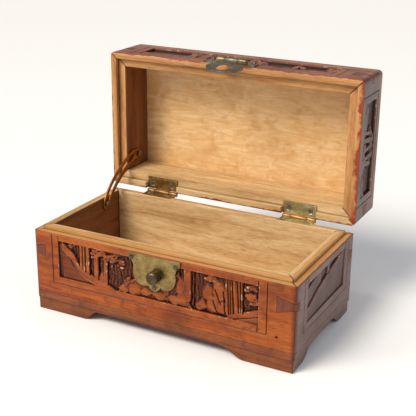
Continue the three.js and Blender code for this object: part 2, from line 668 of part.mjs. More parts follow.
// Straight lower edge on the rim, shoulders rising to a low rounded crown.
function haspPlateOutline() {
  const half = HASP_PLATE_WIDTH / 2;
  const rise = (share) => RIM + HASP_PLATE_HEIGHT * share;
  const shape = new THREE.Shape();
  shape.moveTo(LOCK_X - half, RIM);
  shape.lineTo(LOCK_X + half, RIM);
  shape.lineTo(LOCK_X + half * 0.98, rise(0.3));
  shape.bezierCurveTo(LOCK_X + half, rise(0.8), LOCK_X + half * 0.7, rise(0.95),
    LOCK_X + half * 0.45, rise(0.8));
  shape.quadraticCurveTo(LOCK_X + half * 0.2, rise(1), LOCK_X, rise(1));
  shape.quadraticCurveTo(LOCK_X - half * 0.2, rise(1), LOCK_X - half * 0.45, rise(0.8));
  shape.bezierCurveTo(LOCK_X - half * 0.7, rise(0.95), LOCK_X - half, rise(0.8),
    LOCK_X - half * 0.98, rise(0.3));
  return shape;
}

function haspPlate() {
  const [x0, x1] = haspSpan();
  const inner = SHEET_FRONT + BRASS_SHEET;
  let plate = plateAcross(haspPlateOutline(), SHEET_FRONT, inner);
  for (const [a, b] of [[x0, x0 + HASP_END_KNUCKLE], [x1 - HASP_END_KNUCKLE, x1]]) {
    plate = plate.add(haspKnuckle(a, b)).add(box(a, b, HASP_Y, inner, HASP_Z, HASP_Z + BRASS_SHEET));
  }
  plate = HASP_PINS.reduce((left, pin) => left.subtract(sheetPin(pin.x, pin.z, JOINT_GAP)), plate);
  const clear = HASP_NECK / 2 + LEAF_CLEARANCE;
  const relief = rodAlongX(POST_X - clear, POST_X + clear, HASP_Y, HASP_Z,
    HASP_KNUCKLE_RADIUS + LEAF_CLEARANCE);
  return plate.subtract(relief).subtract(haspBore());
}

// Right half of the flap's edge, measured across and down from the pin: neck, flared shoulder,
// ear, small nick and rounded tip.
function haspFlapEdge() {
  const half = HASP_FLAP_WIDTH / 2;
  const ear = HASP_HOLE_FROM_AXIS;
  const edge = new THREE.Path();
  edge.moveTo(HASP_NECK / 2, 0);
  edge.lineTo(HASP_NECK / 2, HASP_KNUCKLE_RADIUS + 1);
  edge.bezierCurveTo(half * 0.36, ear * 0.5, half * 0.78, ear * 0.5, half * 0.95, ear * 0.8);
  edge.quadraticCurveTo(half * 1.05, ear, half * 0.9, ear * 1.18);
  edge.quadraticCurveTo(half * 0.82, ear * 1.24, half * 0.84, ear * 1.34);
  edge.bezierCurveTo(half * 0.75, HASP_FLAP_LENGTH - 1.5, half * 0.3, HASP_FLAP_LENGTH, 0, HASP_FLAP_LENGTH);
  return edge.getPoints(ROUND_STEPS);
}

function haspFlapOutline() {
  const right = haspFlapEdge();
  const left = right.slice(0, -1).reverse().map((p) => new THREE.Vector2(-p.x, p.y));
  const shape = new THREE.Shape([...right, ...left].map((p) => new THREE.Vector2(POST_X + p.x, HASP_Z - p.y)));
  const hole = new THREE.Path();
  hole.absellipse(POST_X, HASP_Z - HASP_HOLE_FROM_AXIS, POST_RADIUS + HASP_HOLE_SIDE_CLEARANCE,
    POST_RADIUS + HASP_HOLE_END_CLEARANCE, 0, 2 * Math.PI);
  shape.holes.push(hole);
  return shape;
}

function haspFlap() {
  const neck = HASP_NECK / 2;
  const sheet = plateAcross(haspFlapOutline(), HASP_Y - HASP_FLAP_THICKNESS / 2,
    HASP_Y + HASP_FLAP_THICKNESS / 2);
  return sheet.add(haspKnuckle(POST_X - neck, POST_X + neck)).subtract(haspBore());
}

// ---- Assembly ----
function baseGroup() {
  const group = new THREE.Group();
  for (const side of SIDES) {
    group.add(toMesh(`base_${side.name}_wall`, baseWall(side), stainedWood));
    group.add(toMesh(`plinth_${side.name}`, plinthBoard(side), plinthWood));
  }
  group.add(toMesh('base_floor', baseFloor(), paleWood));
  for (const corner of CORNERS) {
    const key = keyPiece(corner, LEDGE_HEIGHT - BASE_KEY_BELOW_LEDGE);
    group.add(toMesh(`base_key_${corner.name}`, key, keyWood));
  }
  for (const hinge of HINGES) {
    group.add(toMesh(`hinge_${hinge.name}_base_leaf`, baseLeaf(hinge), agedBrass));
    group.add(toMesh(`hinge_${hinge.name}_pin`, hingePin(hinge), brightBrass));
    addLeafScrews(group, hinge, 'base', BASE_LEAF_TOP, true);
  }
  group.add(toMesh('stay_guide_screw', guideScrew(0), steel));
  group.add(toMesh('stay_arm', stayArm(), agedBrass));
  group.add(toMesh('lock_plate', lockPlate(), agedBrass));
  group.add(toMesh('lock_post', lockPost(0), steel));
  for (const pin of LOCK_PINS) {
    group.add(toMesh(`lock_plate_pin_${pin.name}`, sheetPin(pin.x, pin.z, 0), brightBrass));
  }
  return group;
}

function addLeafScrews(group, hinge, leaf, z, up) {
  for (const [end, s] of [['outer', Math.sign(hinge.x)], ['inner', -Math.sign(hinge.x)]]) {
    const solid = leafScrew(hinge.x + s * SCREW_SPACING / 2, z, up, 0);
    group.add(toMesh(`hinge_${hinge.name}_${leaf}_screw_${end}`, solid, steel));
  }
}

// Pieces made in the closed lid's place, swung open about the hinge axis.
function openedGroup() {
  const closed = new THREE.Group();
  closed.position.set(0, -HINGE_Y, -HINGE_Z);
  for (const side of SIDES) closed.add(toMesh(`lid_${side.name}_wall`, lidWall(side), lidWood));
  closed.add(toMesh('lid_top', lidTop(), lidWood));
  for (const corner of CORNERS) {
    closed.add(toMesh(`lid_key_${corner.name}`, keyPiece(corner, RIM + LID_KEY_ABOVE_RIM), keyWood));
  }
  for (const hinge of HINGES) {
    closed.add(toMesh(`hinge_${hinge.name}_lid_leaf`, lidLeaf(hinge), agedBrass));
    addLeafScrews(closed, hinge, 'lid', LID_LEAF_BOTTOM, false);
  }
  closed.add(toMesh('stay_pivot_screw', pivotScrew(0), steel));
  closed.add(toMesh('hasp_plate', haspPlate(), agedBrass));
  closed.add(toMesh('hasp_pin', rodAlongX(...haspSpan(), HASP_Y, HASP_Z, PIN_RADIUS), brightBrass));
  for (const pin of HASP_PINS) {
    closed.add(toMesh(`hasp_plate_pin_${pin.name}`, sheetPin(pin.x, pin.z, 0), brightBrass));
  }
  closed.add(droopedFlap());
  const opened = new THREE.Group();
  opened.position.set(0, HINGE_Y, HINGE_Z);
  opened.rotation.x = -LID_OPEN;
  opened.add(closed);
  return opened;
}

function droopedFlap() {
  const flap = toMesh('hasp_flap', haspFlap(), agedBrass);
  flap.position.set(0, -HASP_Y, -HASP_Z);
  const turn = new THREE.Group();
  turn.position.set(0, HASP_Y, HASP_Z);
  turn.rotation.x = THREE.MathUtils.degToRad(HASP_DROOP_DEG);
  turn.add(flap);
  return turn;
}

const jewelryBox = new THREE.Group();
jewelryBox.add(baseGroup(), openedGroup());
jewelryBox.position.set(0, -CENTRE_Y, 0);

export default jewelryBox;
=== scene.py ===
# %% [markdown]
# # A carved camphor-wood jewelry box
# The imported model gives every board, hinge and plate its place. This notebook dresses that frame:
# carved boards with a stained outside and a bare inside, aged brass, and a plain studio around them.
# Everything is in metres in the model's own frame: +X right, +Y back, +Z up.

import json
import math

import bmesh
import bpy
import numpy as np
from mathutils import Matrix, Vector


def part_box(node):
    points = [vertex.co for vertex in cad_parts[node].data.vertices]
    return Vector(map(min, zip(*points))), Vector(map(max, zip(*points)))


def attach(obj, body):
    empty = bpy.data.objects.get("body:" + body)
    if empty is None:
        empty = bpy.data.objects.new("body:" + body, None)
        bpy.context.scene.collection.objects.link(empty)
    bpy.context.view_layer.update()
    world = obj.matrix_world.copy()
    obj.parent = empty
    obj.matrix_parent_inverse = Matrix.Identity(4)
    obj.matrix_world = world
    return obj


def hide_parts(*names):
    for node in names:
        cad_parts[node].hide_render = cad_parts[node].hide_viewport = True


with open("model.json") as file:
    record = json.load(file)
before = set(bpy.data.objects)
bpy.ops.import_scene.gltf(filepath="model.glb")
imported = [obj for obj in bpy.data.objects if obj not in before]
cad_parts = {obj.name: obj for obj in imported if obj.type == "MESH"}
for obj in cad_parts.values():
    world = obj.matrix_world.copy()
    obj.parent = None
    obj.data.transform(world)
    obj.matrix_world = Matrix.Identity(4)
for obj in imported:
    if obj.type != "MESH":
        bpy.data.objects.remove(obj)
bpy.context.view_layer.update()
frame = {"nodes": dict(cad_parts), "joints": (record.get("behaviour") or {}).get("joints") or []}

# %% [markdown]
# ## Units and places
# Woodworkers think in millimetres, so the shapes are worked out in millimetres with the origin under
# the middle of the closed box, and are moved into the frame's metres at the end. The few driving
# sizes are read back from the frame, so the boards always fit the model.

# %% Sizes read from the frame
MM = 0.001
front_low, front_high = [np.array(corner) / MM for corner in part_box("base_front_wall")]
_, back_high = [np.array(corner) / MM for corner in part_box("base_back_wall")]
_, plinth_high = [np.array(corner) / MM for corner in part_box("plinth_front")]
top_low, top_high = [np.array(corner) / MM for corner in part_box("lid_top")]
JOINTS = {joint["name"]: np.array(joint["pos_m"]) / MM for joint in frame["joints"]}

LIP_HEIGHT = 4.3
HALF_W = (top_high[0] - top_low[0]) / 2
HALF_D = (back_high[1] - front_low[1]) / 2
MIDDLE_Y = (back_high[1] + front_low[1]) / 2
LEDGE = front_high[2] - LIP_HEIGHT
WALL_FOOT = front_low[2]
HINGE_Y = JOINTS["lid_hinge"][1] - MIDDLE_Y
HINGE_Z = JOINTS["lid_hinge"][2]
LID_TOP = HINGE_Z + (top_high[1] - MIDDLE_Y) - HINGE_Y
LID_BOARD = HINGE_Z + (top_low[1] - MIDDLE_Y) - HINGE_Y
print("half width", HALF_W, "half depth", HALF_D, "ledge", LEDGE, "lid top", LID_TOP, "board", LID_BOARD)

# %% Fits shared by the boards
WALL = 16.0
LIP_INSET = 7.8
BAND = 7.0
STEP_RISE = 5.5
RIM = LEDGE + 0.4
CORNER = 5.0
MITRE_SHAVE = 0.12
KEY_NARROW, KEY_FLARE = 5.8, 0.52
KEY_LENGTHS = {"front": (14.5, 20.0), "right": (8.0, 14.5), "back": (14.5, 14.5), "left": (14.5, 14.5)}
HINGE_X = 84.0
HINGE_HALF = 18.75
LEAF_REACH = 13.3
SEAT_TOP = HINGE_Z - 1.9
LID_NOTCH_TOP = HINGE_Z + 1.9
LID_WALL_TOP = LID_BOARD - 0.3
LEAF_EDGE = LEAF_REACH + 0.3


def into_frame(points):
    """Closed-box millimetres to frame metres: shift along Y, then scale."""
    return (points + np.array([0.0, MIDDLE_Y, 0.0])) * MM


def swing_open(points):
    """A quarter turn about the hinge axis: what rose above the axis now lies behind it."""
    behind = points[..., 2] - HINGE_Z + HINGE_Y
    above = HINGE_Z - (points[..., 1] - HINGE_Y)
    return np.stack([points[..., 0], behind, above], axis=-1)


# %% [markdown]
# ## Camera
# A camera a good arm's length away with a longish lens keeps the box's edges close to parallel. It
# stands to the right of the front, a little above the open lid, looking down at the lock.

# %% Camera
CAMERA_PLACE = np.array([423.8, -783.1, 442.8])
CAMERA_YAW, CAMERA_PITCH, CAMERA_ROLL = math.radians(-27.5), math.radians(20.2), math.radians(0.6)
LENS, SENSOR = 80.2, 36.0


def camera_axes(yaw, pitch, roll):
    """View direction from a heading and a downward pitch, then the two other axes rolled about it."""
    view = Vector((math.sin(yaw) * math.cos(pitch), math.cos(yaw) * math.cos(pitch), -math.sin(pitch)))
    side = Vector((math.cos(yaw), -math.sin(yaw), 0.0))
    upward = side.cross(view)
    rolled = side * math.cos(roll) + upward * math.sin(roll)
    return rolled, rolled.cross(view), view


side_axis, up_axis, view_axis = camera_axes(CAMERA_YAW, CAMERA_PITCH, CAMERA_ROLL)
camera = bpy.data.objects.new("camera", bpy.data.cameras.new("camera"))
camera.data.lens = LENS
camera.data.sensor_width = SENSOR
camera_matrix = Matrix((side_axis, up_axis, -view_axis)).transposed().to_4x4()
camera_matrix.translation = Vector(into_frame(CAMERA_PLACE))
camera.matrix_world = camera_matrix
bpy.context.scene.collection.objects.link(camera)
bpy.context.scene.camera = camera
print("camera at", tuple(round(v, 3) for v in camera_matrix.translation))

# %% [markdown]
# ## Studio
# A product table: one pale sheet of paper under a far, soft light from the left front. A far light
# reaches the paper evenly, where a lamp close by would leave a bright pool. A small lamp beside it
# gives the varnish its glints, and a cool weak one stands in for a window on the right.

# %% Colours
def linear(hex_colour):
    """An sRGB hex colour turned to the linear values that shaders work in."""
    channels = [int(hex_colour[i:i + 2], 16) / 255 for i in (1, 3, 5)]
    bent = [c / 12.92 if c <= 0.04045 else ((c + 0.055) / 1.055) ** 2.4 for c in channels]
    return (*bent, 1.0)


def add(tree, kind, settings=None, links=None):
    """Adds one shader node. Settings name its properties or its input sockets; links feed its inputs."""
    node = tree.nodes.new(kind)
    for key, value in (settings or {}).items():
        if isinstance(key, str) and hasattr(node, key):
            setattr(node, key, value)
        else:
            node.inputs[key].default_value = value
    for key, source in (links or {}).items():
        tree.links.new(source, node.inputs[key])
    return node


def new_material(name):
    """An empty node material with its output and one Principled shader."""
    material = bpy.data.materials.new(name)
    material.use_nodes = True
    tree = material.node_tree
    tree.nodes.clear()
    shader = add(tree, "ShaderNodeBsdfPrincipled")
    add(tree, "ShaderNodeOutputMaterial", links={"Surface": shader.outputs["BSDF"]})
    return material, tree, shader


# %% Table, surround and lights
WORLD_STRENGTH = 0.5
table_material, table_tree, table_shader = new_material("matt white paper")
paper_noise = add(table_tree, "ShaderNodeTexNoise", {"Scale": 3.0, "Detail": 2.0})
PAPER_TONES = {"data_type": "RGBA", 6: linear("#F4F3F1"), 7: linear("#FAF9F7")}
paper_tone = add(table_tree, "ShaderNodeMix", PAPER_TONES, {0: paper_noise.outputs["Fac"]})
table_tree.links.new(paper_tone.outputs[2], table_shader.inputs["Base Color"])
table_shader.inputs["Roughness"].default_value = 0.9

TABLE_HALF = 60.0
table_mesh = bpy.data.meshes.new("table")
table_mesh.from_pydata([(-TABLE_HALF, -TABLE_HALF, 0), (TABLE_HALF, -TABLE_HALF, 0),
                        (TABLE_HALF, TABLE_HALF, 0), (-TABLE_HALF, TABLE_HALF, 0)], [], [(0, 1, 2, 3)])
table_mesh.materials.append(table_material)
table = bpy.data.objects.new("table", table_mesh)
bpy.context.scene.collection.objects.link(table)

world = bpy.data.worlds.new("studio")
bpy.context.scene.world = world
world.use_nodes = True
world.node_tree.nodes["Background"].inputs["Color"].default_value = linear("#F3F5F8")
world.node_tree.nodes["Background"].inputs["Strength"].default_value = WORLD_STRENGTH
bpy.context.scene.view_settings.view_transform = "Standard"


def soft_light(name, place, target, width, power, colour):
    """A square area light aimed at a point."""
    data = bpy.data.lights.new(name, "AREA")
    data.size = width
    data.energy = power
    data.color = linear(colour)[:3]
    light = bpy.data.objects.new(name, data)
    light.location = place
    light.rotation_euler = (Vector(target) - Vector(place)).to_track_quat("-Z", "Y").to_euler()
    bpy.context.scene.collection.objects.link(light)


def sun(name, place, strength, spread, colour):
    """A far light that reaches the whole table evenly; spread is its angle in degrees."""
    data = bpy.data.lights.new(name, "SUN")
    data.energy = strength
    data.angle = math.radians(spread)
    data.color = linear(colour)[:3]
    light = bpy.data.objects.new(name, data)
    light.rotation_euler = Vector(place).to_track_quat("Z", "Y").to_euler()
    bpy.context.scene.collection.objects.link(light)


sun("even key", (-0.35, -0.8, 1.0), 2.5, 24, "#FFF8EC")
soft_light("glint", (-0.7, -0.9, 0.9), (0, 0, 0.1), 0.35, 5.0, "#FFFFFF")
soft_light("window", (1.3, 0.1, 0.75), (0.15, 0, 0.05), 0.8, 3.0, "#DCE6FA")

# %% [markdown]
# ## Mesh helpers
# Each board is a closed profile (its cross section) carried along the board, so its surface is a
# function of two parameters: how far round the section, and how far along. Whole arrays hold the
# points, and the ends are closed with one face each.

# %% Surface to mesh
def make_piece(name, points, faces, attributes=None, materials=(), slots=None, smooth_angle=32):
    """Builds a mesh object from points in frame metres, with per-point attributes and material slots."""
    mesh = bpy.data.meshes.new(name)
    mesh.from_pydata(points.reshape(-1, 3).tolist(), [], faces)
    for key, values in (attributes or {}).items():
        layer = mesh.attributes.new(key, "FLOAT", "POINT")
        layer.data.foreach_set("value", np.ascontiguousarray(values, dtype=np.float32).ravel())
    for material in materials:
        mesh.materials.append(material)
    if slots is not None:
        mesh.polygons.foreach_set("material_index", np.asarray(slots, dtype=np.int32))
    work = bmesh.new()
    work.from_mesh(mesh)
    bmesh.ops.recalc_face_normals(work, faces=work.faces)
    work.to_mesh(mesh)
    work.free()
    mesh.shade_smooth()
    mesh.set_sharp_from_angle(angle=math.radians(smooth_angle))
    piece = bpy.data.objects.new(name, mesh)
    bpy.context.scene.collection.objects.link(piece)
    return piece


def grid_faces(rows, columns, closed_rows):
    """Index quads of a grid; closed_rows joins the last row back to the first."""
    last = rows if closed_rows else rows - 1
    r, c = np.meshgrid(np.arange(last), np.arange(columns - 1), indexing="ij")
    after = (r + 1) % rows
    here, there = r * columns + c, after * columns + c
    quads = np.stack([here, here + 1, there + 1, there], axis=-1)
    return quads.reshape(-1, 4)


# %% [markdown]
# ## Carving
# The carver sinks the ground a few millimetres and leaves hills, rocks, trunks and leaves standing.
# Sculpting by hand would fix every stroke in place; here the relief is a height function instead.
# Each element is a small formula, and the highest one wins, as it does under a chisel.

# %% Carving marks
GROUND = -3.2
FAR_BELOW = -9.0


def path_distance(x, v, path):
    """Distance from every point to a line through the path's points: the nearest segment's."""
    best = np.full(x.shape, 1e6)
    for (x0, v0), (x1, v1) in zip(path[:-1], path[1:]):
        dx, dv = x1 - x0, v1 - v0
        along = np.clip(((x - x0) * dx + (v - v0) * dv) / (dx * dx + dv * dv), 0, 1)
        best = np.minimum(best, np.hypot(x - x0 - along * dx, v - v0 - along * dv))
    return best


def ribbon(x, v, path, half_width, top=-0.2, steep=5.0):
    """Flat-topped band along a path, with steep chiselled flanks."""
    return top - steep * np.maximum(0, path_distance(x, v, path) - half_width)


def crag(x, v, centre, radii, seed, top=-0.1, foot=GROUND):
    """Rock cut with flat facets: the lowest of a few slanting planes round it, and a flat top.

    Each plane falls away from the centre in its own direction, from its own distance."""
    draw = np.random.default_rng(seed)
    height = np.full(x.shape, top - draw.uniform(0, 0.5))
    count = int(draw.integers(6, 9))
    for k in range(count):
        angle = 2 * math.pi * (k + draw.uniform(-0.3, 0.3)) / count
        away = (x - centre[0]) / radii[0] * math.cos(angle) + (v - centre[1]) / radii[1] * math.sin(angle)
        steep, start = draw.uniform(3.0, 7.0), draw.uniform(0.35, 0.8)
        height = np.minimum(height, top - steep * np.maximum(0, away - start))
    return np.where(height > foot, height, FAR_BELOW)


def bank(x, v, path, top_below, slope=0.0, steep=5.0):
    """Ground left standing below a broken line: level there, falling steeply above it."""
    xs, vs = zip(*path)
    crest = np.interp(x, xs, vs)
    inside = (x >= xs[0]) & (x <= xs[-1])
    height = top_below - slope * np.maximum(0, crest - v) - steep * np.maximum(0, v - crest)
    return np.where(inside, height, FAR_BELOW)


def leaves(x, v, centre, radius, seed, top=-0.2):
    """A clump of small overlapping faceted leaves scattered round a centre."""
    draw = np.random.default_rng(seed)
    height = np.full(x.shape, FAR_BELOW)
    for _ in range(11):
        angle, far = draw.uniform(0, 2 * math.pi), radius * draw.uniform(0.1, 0.9)
        place = (centre[0] + far * math.cos(angle) * 1.2, centre[1] + far * math.sin(angle))
        size = radius * draw.uniform(0.28, 0.42)
        own_seed = int(draw.integers(1000))
        leaf = crag(x, v, place, (size * 1.7, size * 1.1), own_seed, top - draw.uniform(0, 1.2))
        height = np.maximum(height, leaf)
    return height


def groove(x, v, path, width, depth):
    """V-cut along a path, to be taken away from what stands there."""
    return depth * np.maximum(0, 1 - path_distance(x, v, path) / width)


def gouge_marks(x, v, seed):
    """Shallow scallops left on the sunk ground: two crossing rows of ripples."""
    draw = np.random.default_rng(seed)
    turn = draw.uniform(-0.3, 0.3)
    wave = np.sin(1.9 * (v + turn * x)) * np.sin(0.8 * x + 1.2 * np.sin(0.6 * v))
    chisel = np.abs(np.sin(1.25 * (x + 0.12 * v) + 0.8 * np.sin(0.21 * x)))
    return 0.2 * wave - 0.55 * (1 - chisel) ** 3


# %% The scene on the front board
def front_scene(x, v, reach, tall):
    """Hillside, trunks and leaves to the left, a mound under the lock, rocks and slopes to the right."""
    h = GROUND + gouge_marks(x, v, 3)
    # upright strokes about 4 mm apart, broken off every dozen millimetres
    upright = np.abs(np.sin(0.75 * x + 0.5 * np.sin(0.35 * v))) ** 3
    h = h + 1.3 * upright * np.abs(np.sin(0.23 * v + 0.9 * np.sin(0.4 * x)))
    far_hill = [(-reach, 36), (-104, 30), (-98, 21), (-88, 13), (-72, 8), (-56, 3)]
    h = np.maximum(h, bank(x, v, far_hill, -1.6, 0.02))
    hill = [(-reach + 4, tall), (-97, 28), (-92, 18), (-84, 12), (-70, 8), (-58, 4), (-47, -1)]
    h = np.maximum(h, bank(x, v, hill, -0.25) - 1.2 * (v < np.interp(x, *zip(*hill)) - 8.5))
    for centre, low, high, half in ((-89, 14, tall, 1.3), (-85.5, 13, tall, 1.0), (-81, 11, tall, 1.9),
                                    (-71, 7, 31, 2.4), (-59.5, 3, 27, 2.0), (34, 10, tall, 3.6)):
        h = np.maximum(h, ribbon(x, v, [(centre, low), (centre, high)], half, -0.5, 7))
    clumps = ((-72, 33, 5.5), (-64, 38, 5), (-56, 31, 5.5), (-48, 36, 5), (-41, 29, 4.5), (-34, 13, 4),
              (58, 36, 6), (66, 31, 5.5), (99, 28, 6), (106, 21, 5.5), (103, 36, 5), (-101, 38, 3.5),
              (-18, 5, 4), (12, 6, 4), (28, 6, 4.5))
    for k, (cx, cv, size) in enumerate(clumps):
        h = np.maximum(h, leaves(x, v, (cx, cv), size, 20 + k))
    mound = [(-46, -1), (-38, 8), (-30, 15), (-22, 19), (0, 22), (18, 24), (24, 36), (29, 20), (37, 3),
             (40, -1)]
    h = np.maximum(h, bank(x, v, mound, -0.7, 0.05))
    on_mound = (v < np.interp(x, *zip(*mound)) - 2) & (np.abs(x) < 38)
    h -= np.where(on_mound, 0.5 * np.abs(np.sin(0.9 * x - 0.7 * v)) ** 4, 0)
    rocks = ((69, 21, 8, 12), (61, 11, 9, 10), (56, 20, 6, 8), (72, 8, 8, 9), (49, 6, 7, 7), (-12, 6, 8, 6),
             (3, 5, 8, 6), (20, 5, 8, 7), (-26, 7, 8, 8), (-38, 3, 7, 5), (66, 30, 5, 6), (29, 8, 7, 10),
             (-63, 9, 6, 6), (10, 12, 6, 6), (-4, 14, 7, 6), (26, 20, 6, 9))
    for k, (cx, cv, rx, rv) in enumerate(rocks):
        h = np.maximum(h, crag(x, v, (cx, cv), (rx, rv), 60 + k))
    reeds = (x > 75) & (x < 93) & (v > 2)
    stems = np.abs(np.sin(math.pi * (x + 0.06 * v + 1.1 * np.sin(0.55 * x)) / 3.4))
    h = np.where(reeds, np.maximum(h, -2.2 + 1.9 * stems), h)
    h = np.maximum(h, bank(x, v, [(76, -1), (78, 3), (reach, 18)], -0.5, 0.03))
    h -= groove(x, v, [(84, 0), (reach, 10)], 0.9, 1.2)
    h -= groove(x, v, [(-reach, 28), (-104, 25), (-99, 15), (-86, 8), (-70, 2)], 0.8, 1.1)
    for path in ([(93.5, 8), (93.5, tall)], [(41, 3), (41, tall)], [(-78.4, 10), (-78.4, tall)],
                 [(-68, 7), (-68, 31)], [(-57, 3), (-57, 28)], [(74.5, 3), (73, 26)], [(64, 26), (70, 12)],
                 [(66, 3), (62, 14)]):
        h -= groove(x, v, path, 1.0, 1.6)
    return h


def side_scene(x, v, reach, tall):
    """Two bold slanting banks with a trunk between them, and fine ticks across the lower bank."""
    h = GROUND + 0.5 + gouge_marks(x, v, 5)
    lower = [(-reach, 11), (-20, 23), (reach - 4, 39), (reach, 40)]
    h = np.maximum(h, bank(x, v, lower, -0.9, 0.02))
    h = np.maximum(h, bank(x, v, [(-reach, 31), (-34, 35), (-16, tall), (-12, tall)], -1.5) - 0.4)
    h = np.maximum(h, ribbon(x, v, [(5, 22), (5, tall)], 2.6, -0.8, 7))
    h -= groove(x, v, [(-reach, 12.5), (-20, 24), (reach, 41)], 1.6, 1.8)
    h -= groove(x, v, [(-reach, 32), (-16, tall)], 1.4, 1.5)
    h -= groove(x, v, [(8.5, 24), (8.5, tall)], 1.1, 1.6)
    below = v < np.interp(x, *zip(*lower)) - 4
    h -= np.where(below, 0.35 * np.maximum(0, np.sin(1.7 * x + 1.1 * v)) ** 6, 0)
    return h


def garden_scene(x, v, reach, tall, seed):
    """A generic hillside: seeded rocks along the foot, trunks with leaf clumps, and one long slope."""
    draw = np.random.default_rng(seed)
    h = GROUND + gouge_marks(x, v, seed)
    xs = np.linspace(-reach, reach, 9)
    h = np.maximum(h, bank(x, v, list(zip(xs, tall * draw.uniform(0.12, 0.42, 9))), -0.6, 0.04))
    for centre in draw.uniform(-reach * 0.9, reach * 0.9, int(reach / 9)):
        lean, high = draw.uniform(-5, 5), tall * draw.uniform(0.6, 0.95)
        h = np.maximum(h, ribbon(x, v, [(centre, 0), (centre + lean, high)], draw.uniform(1.2, 2.4), -0.4, 7))
        h = np.maximum(h, leaves(x, v, (centre + lean, high), tall * 0.16, int(draw.integers(1000))))
    for _ in range(int(reach / 6)):
        centre = (draw.uniform(-reach, reach), tall * draw.uniform(0.05, 0.25))
        radii = (draw.uniform(5, 11), draw.uniform(4, 9))
        h = np.maximum(h, crag(x, v, centre, radii, int(draw.integers(1000))))
    return h


# %% [markdown]
# ## Frames cut round the carving
# Each carved field has a flat frame with a fine incised line round it. The board's face is the frame
# at depth zero, the field is the scene's height, and the line is a narrow V taken off the face.

# %% Face relief of a board
def sunk(scene, x, z, ends, low, tall):
    """Scene height inside the field, zero on the frame, with a crisp wall where the field starts."""
    inside = (x > ends[0]) & (x < ends[1]) & (z > low) & (z < low + tall)
    reach = max(-ends[0], ends[1])
    return np.where(inside, np.minimum(scene(x, z - low, reach, tall), -0.05), 0.0)


def lines(x, z, paths, width=0.6, depth=1.0):
    """Incised V lines along several paths; where two cross, the deeper one counts."""
    return -np.max([groove(x, z, path, width, depth) for path in paths], axis=0)


def key_housing(x, z, half, centre, lengths):
    """The dovetail housings at both ends: narrow at the corner, flaring steadily to the inner end."""
    from_corner = half - np.abs(x)
    length = np.where(x < 0, *lengths)
    half_height = (KEY_NARROW + KEY_FLARE * from_corner) / 2 + 0.22
    return np.where((from_corner < length + 0.22) & (np.abs(z - centre) < half_height), -2.0, 0.0)


def blurred(field, steps):
    """Running mean along both directions, repeated: a cheap soft blur."""
    for _ in range(steps):
        field = (np.roll(field, 1, 0) + field + np.roll(field, -1, 0)) / 3
        field = (np.roll(field, 1, 1) + field + np.roll(field, -1, 1)) / 3
    return field


# %% A mitred board from its section
def arc_inset(x, half):
    """How far the rounded vertical corner has turned in at x: a circle's drop."""
    over = np.clip(np.abs(x) - (half - CORNER), 0, CORNER)
    return CORNER - np.sqrt(np.maximum(0, CORNER ** 2 - over ** 2))


def columns_for(half, step, breaks=()):
    """Places along the board: even steps, closer at the rounded ends, and the given extra places."""
    body = np.linspace(-half + CORNER, half - CORNER, int(2 * half / step))
    turn = half - CORNER + CORNER * 0.7 * np.linspace(0, 1, 7)[1:]
    places = np.unique(np.concatenate([body, turn, -turn, np.array(breaks, dtype=float)]))
    return places / places[-1]


def board(name, side, section, face_rows, step, relief=None, breaks=(), reshape=None, lid=False,
          materials=()):
    """Carries a closed section of (inset, height) pairs along a mitred board.

    A point's place along the board is its column's share of the half length less its own inset, which
    gives the mitre. Insets in face_rows are deepened by the relief. The stain attribute is 1 on the
    outer face and fades over the first two millimetres of the edge; seam marks the mitres' dark joints
    and paints shade into the inner corner at the foot of the lip or rim."""
    half, out, turn = SIDE_SHAPES[side]
    share = columns_for(half, step, breaks)
    inset, height = [np.array(values, dtype=float)[:, None] for values in zip(*section)]
    end = half - np.maximum(inset, CORNER * (1 - math.sqrt(0.5))) - MITRE_SHAVE
    x = share[None, :] * end
    inset = np.repeat(inset, share.size, axis=1)
    height = np.repeat(height, share.size, axis=1)
    cut = np.zeros_like(x)
    if relief is not None:
        cut[face_rows] = relief(x[face_rows], height[face_rows])
    if reshape is not None:
        inset, height = reshape(x, inset, height)
    depth = inset - cut
    y = -out + np.maximum(depth, arc_inset(x, half) + np.maximum(0, -cut))
    stain = np.clip(1.25 - inset / 2.0, 0, 1)
    if lid:
        # stain that ran over the rim: a strip whose width wanders along the board
        wander = RUN_OVER[side] * (1 + 0.35 * np.sin(0.09 * x) + 0.2 * np.sin(0.31 * x + 1))
        stain = np.clip(0.54 - 0.18 * inset / wander, 0, 1)
    else:
        stain[height < WALL_FOOT + 0.5] = 1.0
    stain[face_rows] = 1.0
    cavity = np.zeros_like(x)
    cavity[face_rows] = cut[face_rows] - blurred(cut[face_rows], 5)
    corner = np.clip((np.abs(x) - half + CORNER + 1.5) / CORNER, 0, 1) * (inset < 1)
    amber = ((inset > 0.5) & (inset < 12) & (height > LEDGE - 1) & (not lid)).astype(float)
    shoulder = BAND if lid else LIP_INSET
    shoulder_height = LEDGE + (STEP_RISE if lid else 0)
    # painted shade: a dark line in the inner corner at the foot of the lip or rim; the mitres' dark joints
    # are the wood's own
    seam = 0.75 * ((np.abs(inset - shoulder) < 0.1) & (np.abs(height - shoulder_height) < 0.3))
    mitre = np.interp(1 - np.abs(share), (0, 0.7 / half, 1.6 / half), (1, 0.6, 0))
    seam = np.maximum(seam, mitre * (inset > 1))
    wide, deep = np.cos(turn), np.sin(turn)
    points = np.stack([x * wide - y * deep, x * deep + y * wide, height], axis=-1)
    if lid:
        points = swing_open(points)
    rows, columns = x.shape
    quads = grid_faces(rows, columns, True)
    caps = [tuple(range(0, rows * columns, columns)), tuple(range(columns - 1, rows * columns, columns))]
    faces = quads.tolist() + caps
    outside = stain.ravel()[quads].mean(axis=1) > 0.45
    slots = np.concatenate([np.where(outside, 0, 1), [1, 1]])
    attributes = {"stain": stain, "cavity": cavity, "sunk": -cut, "corner": corner, "amber": amber,
                  "seam": seam}
    piece = make_piece(name, into_frame(points), faces, attributes, materials, slots)
    print(name, "points", rows * columns, "deepest cut mm", round(float(-cut.min()), 2))
    return piece


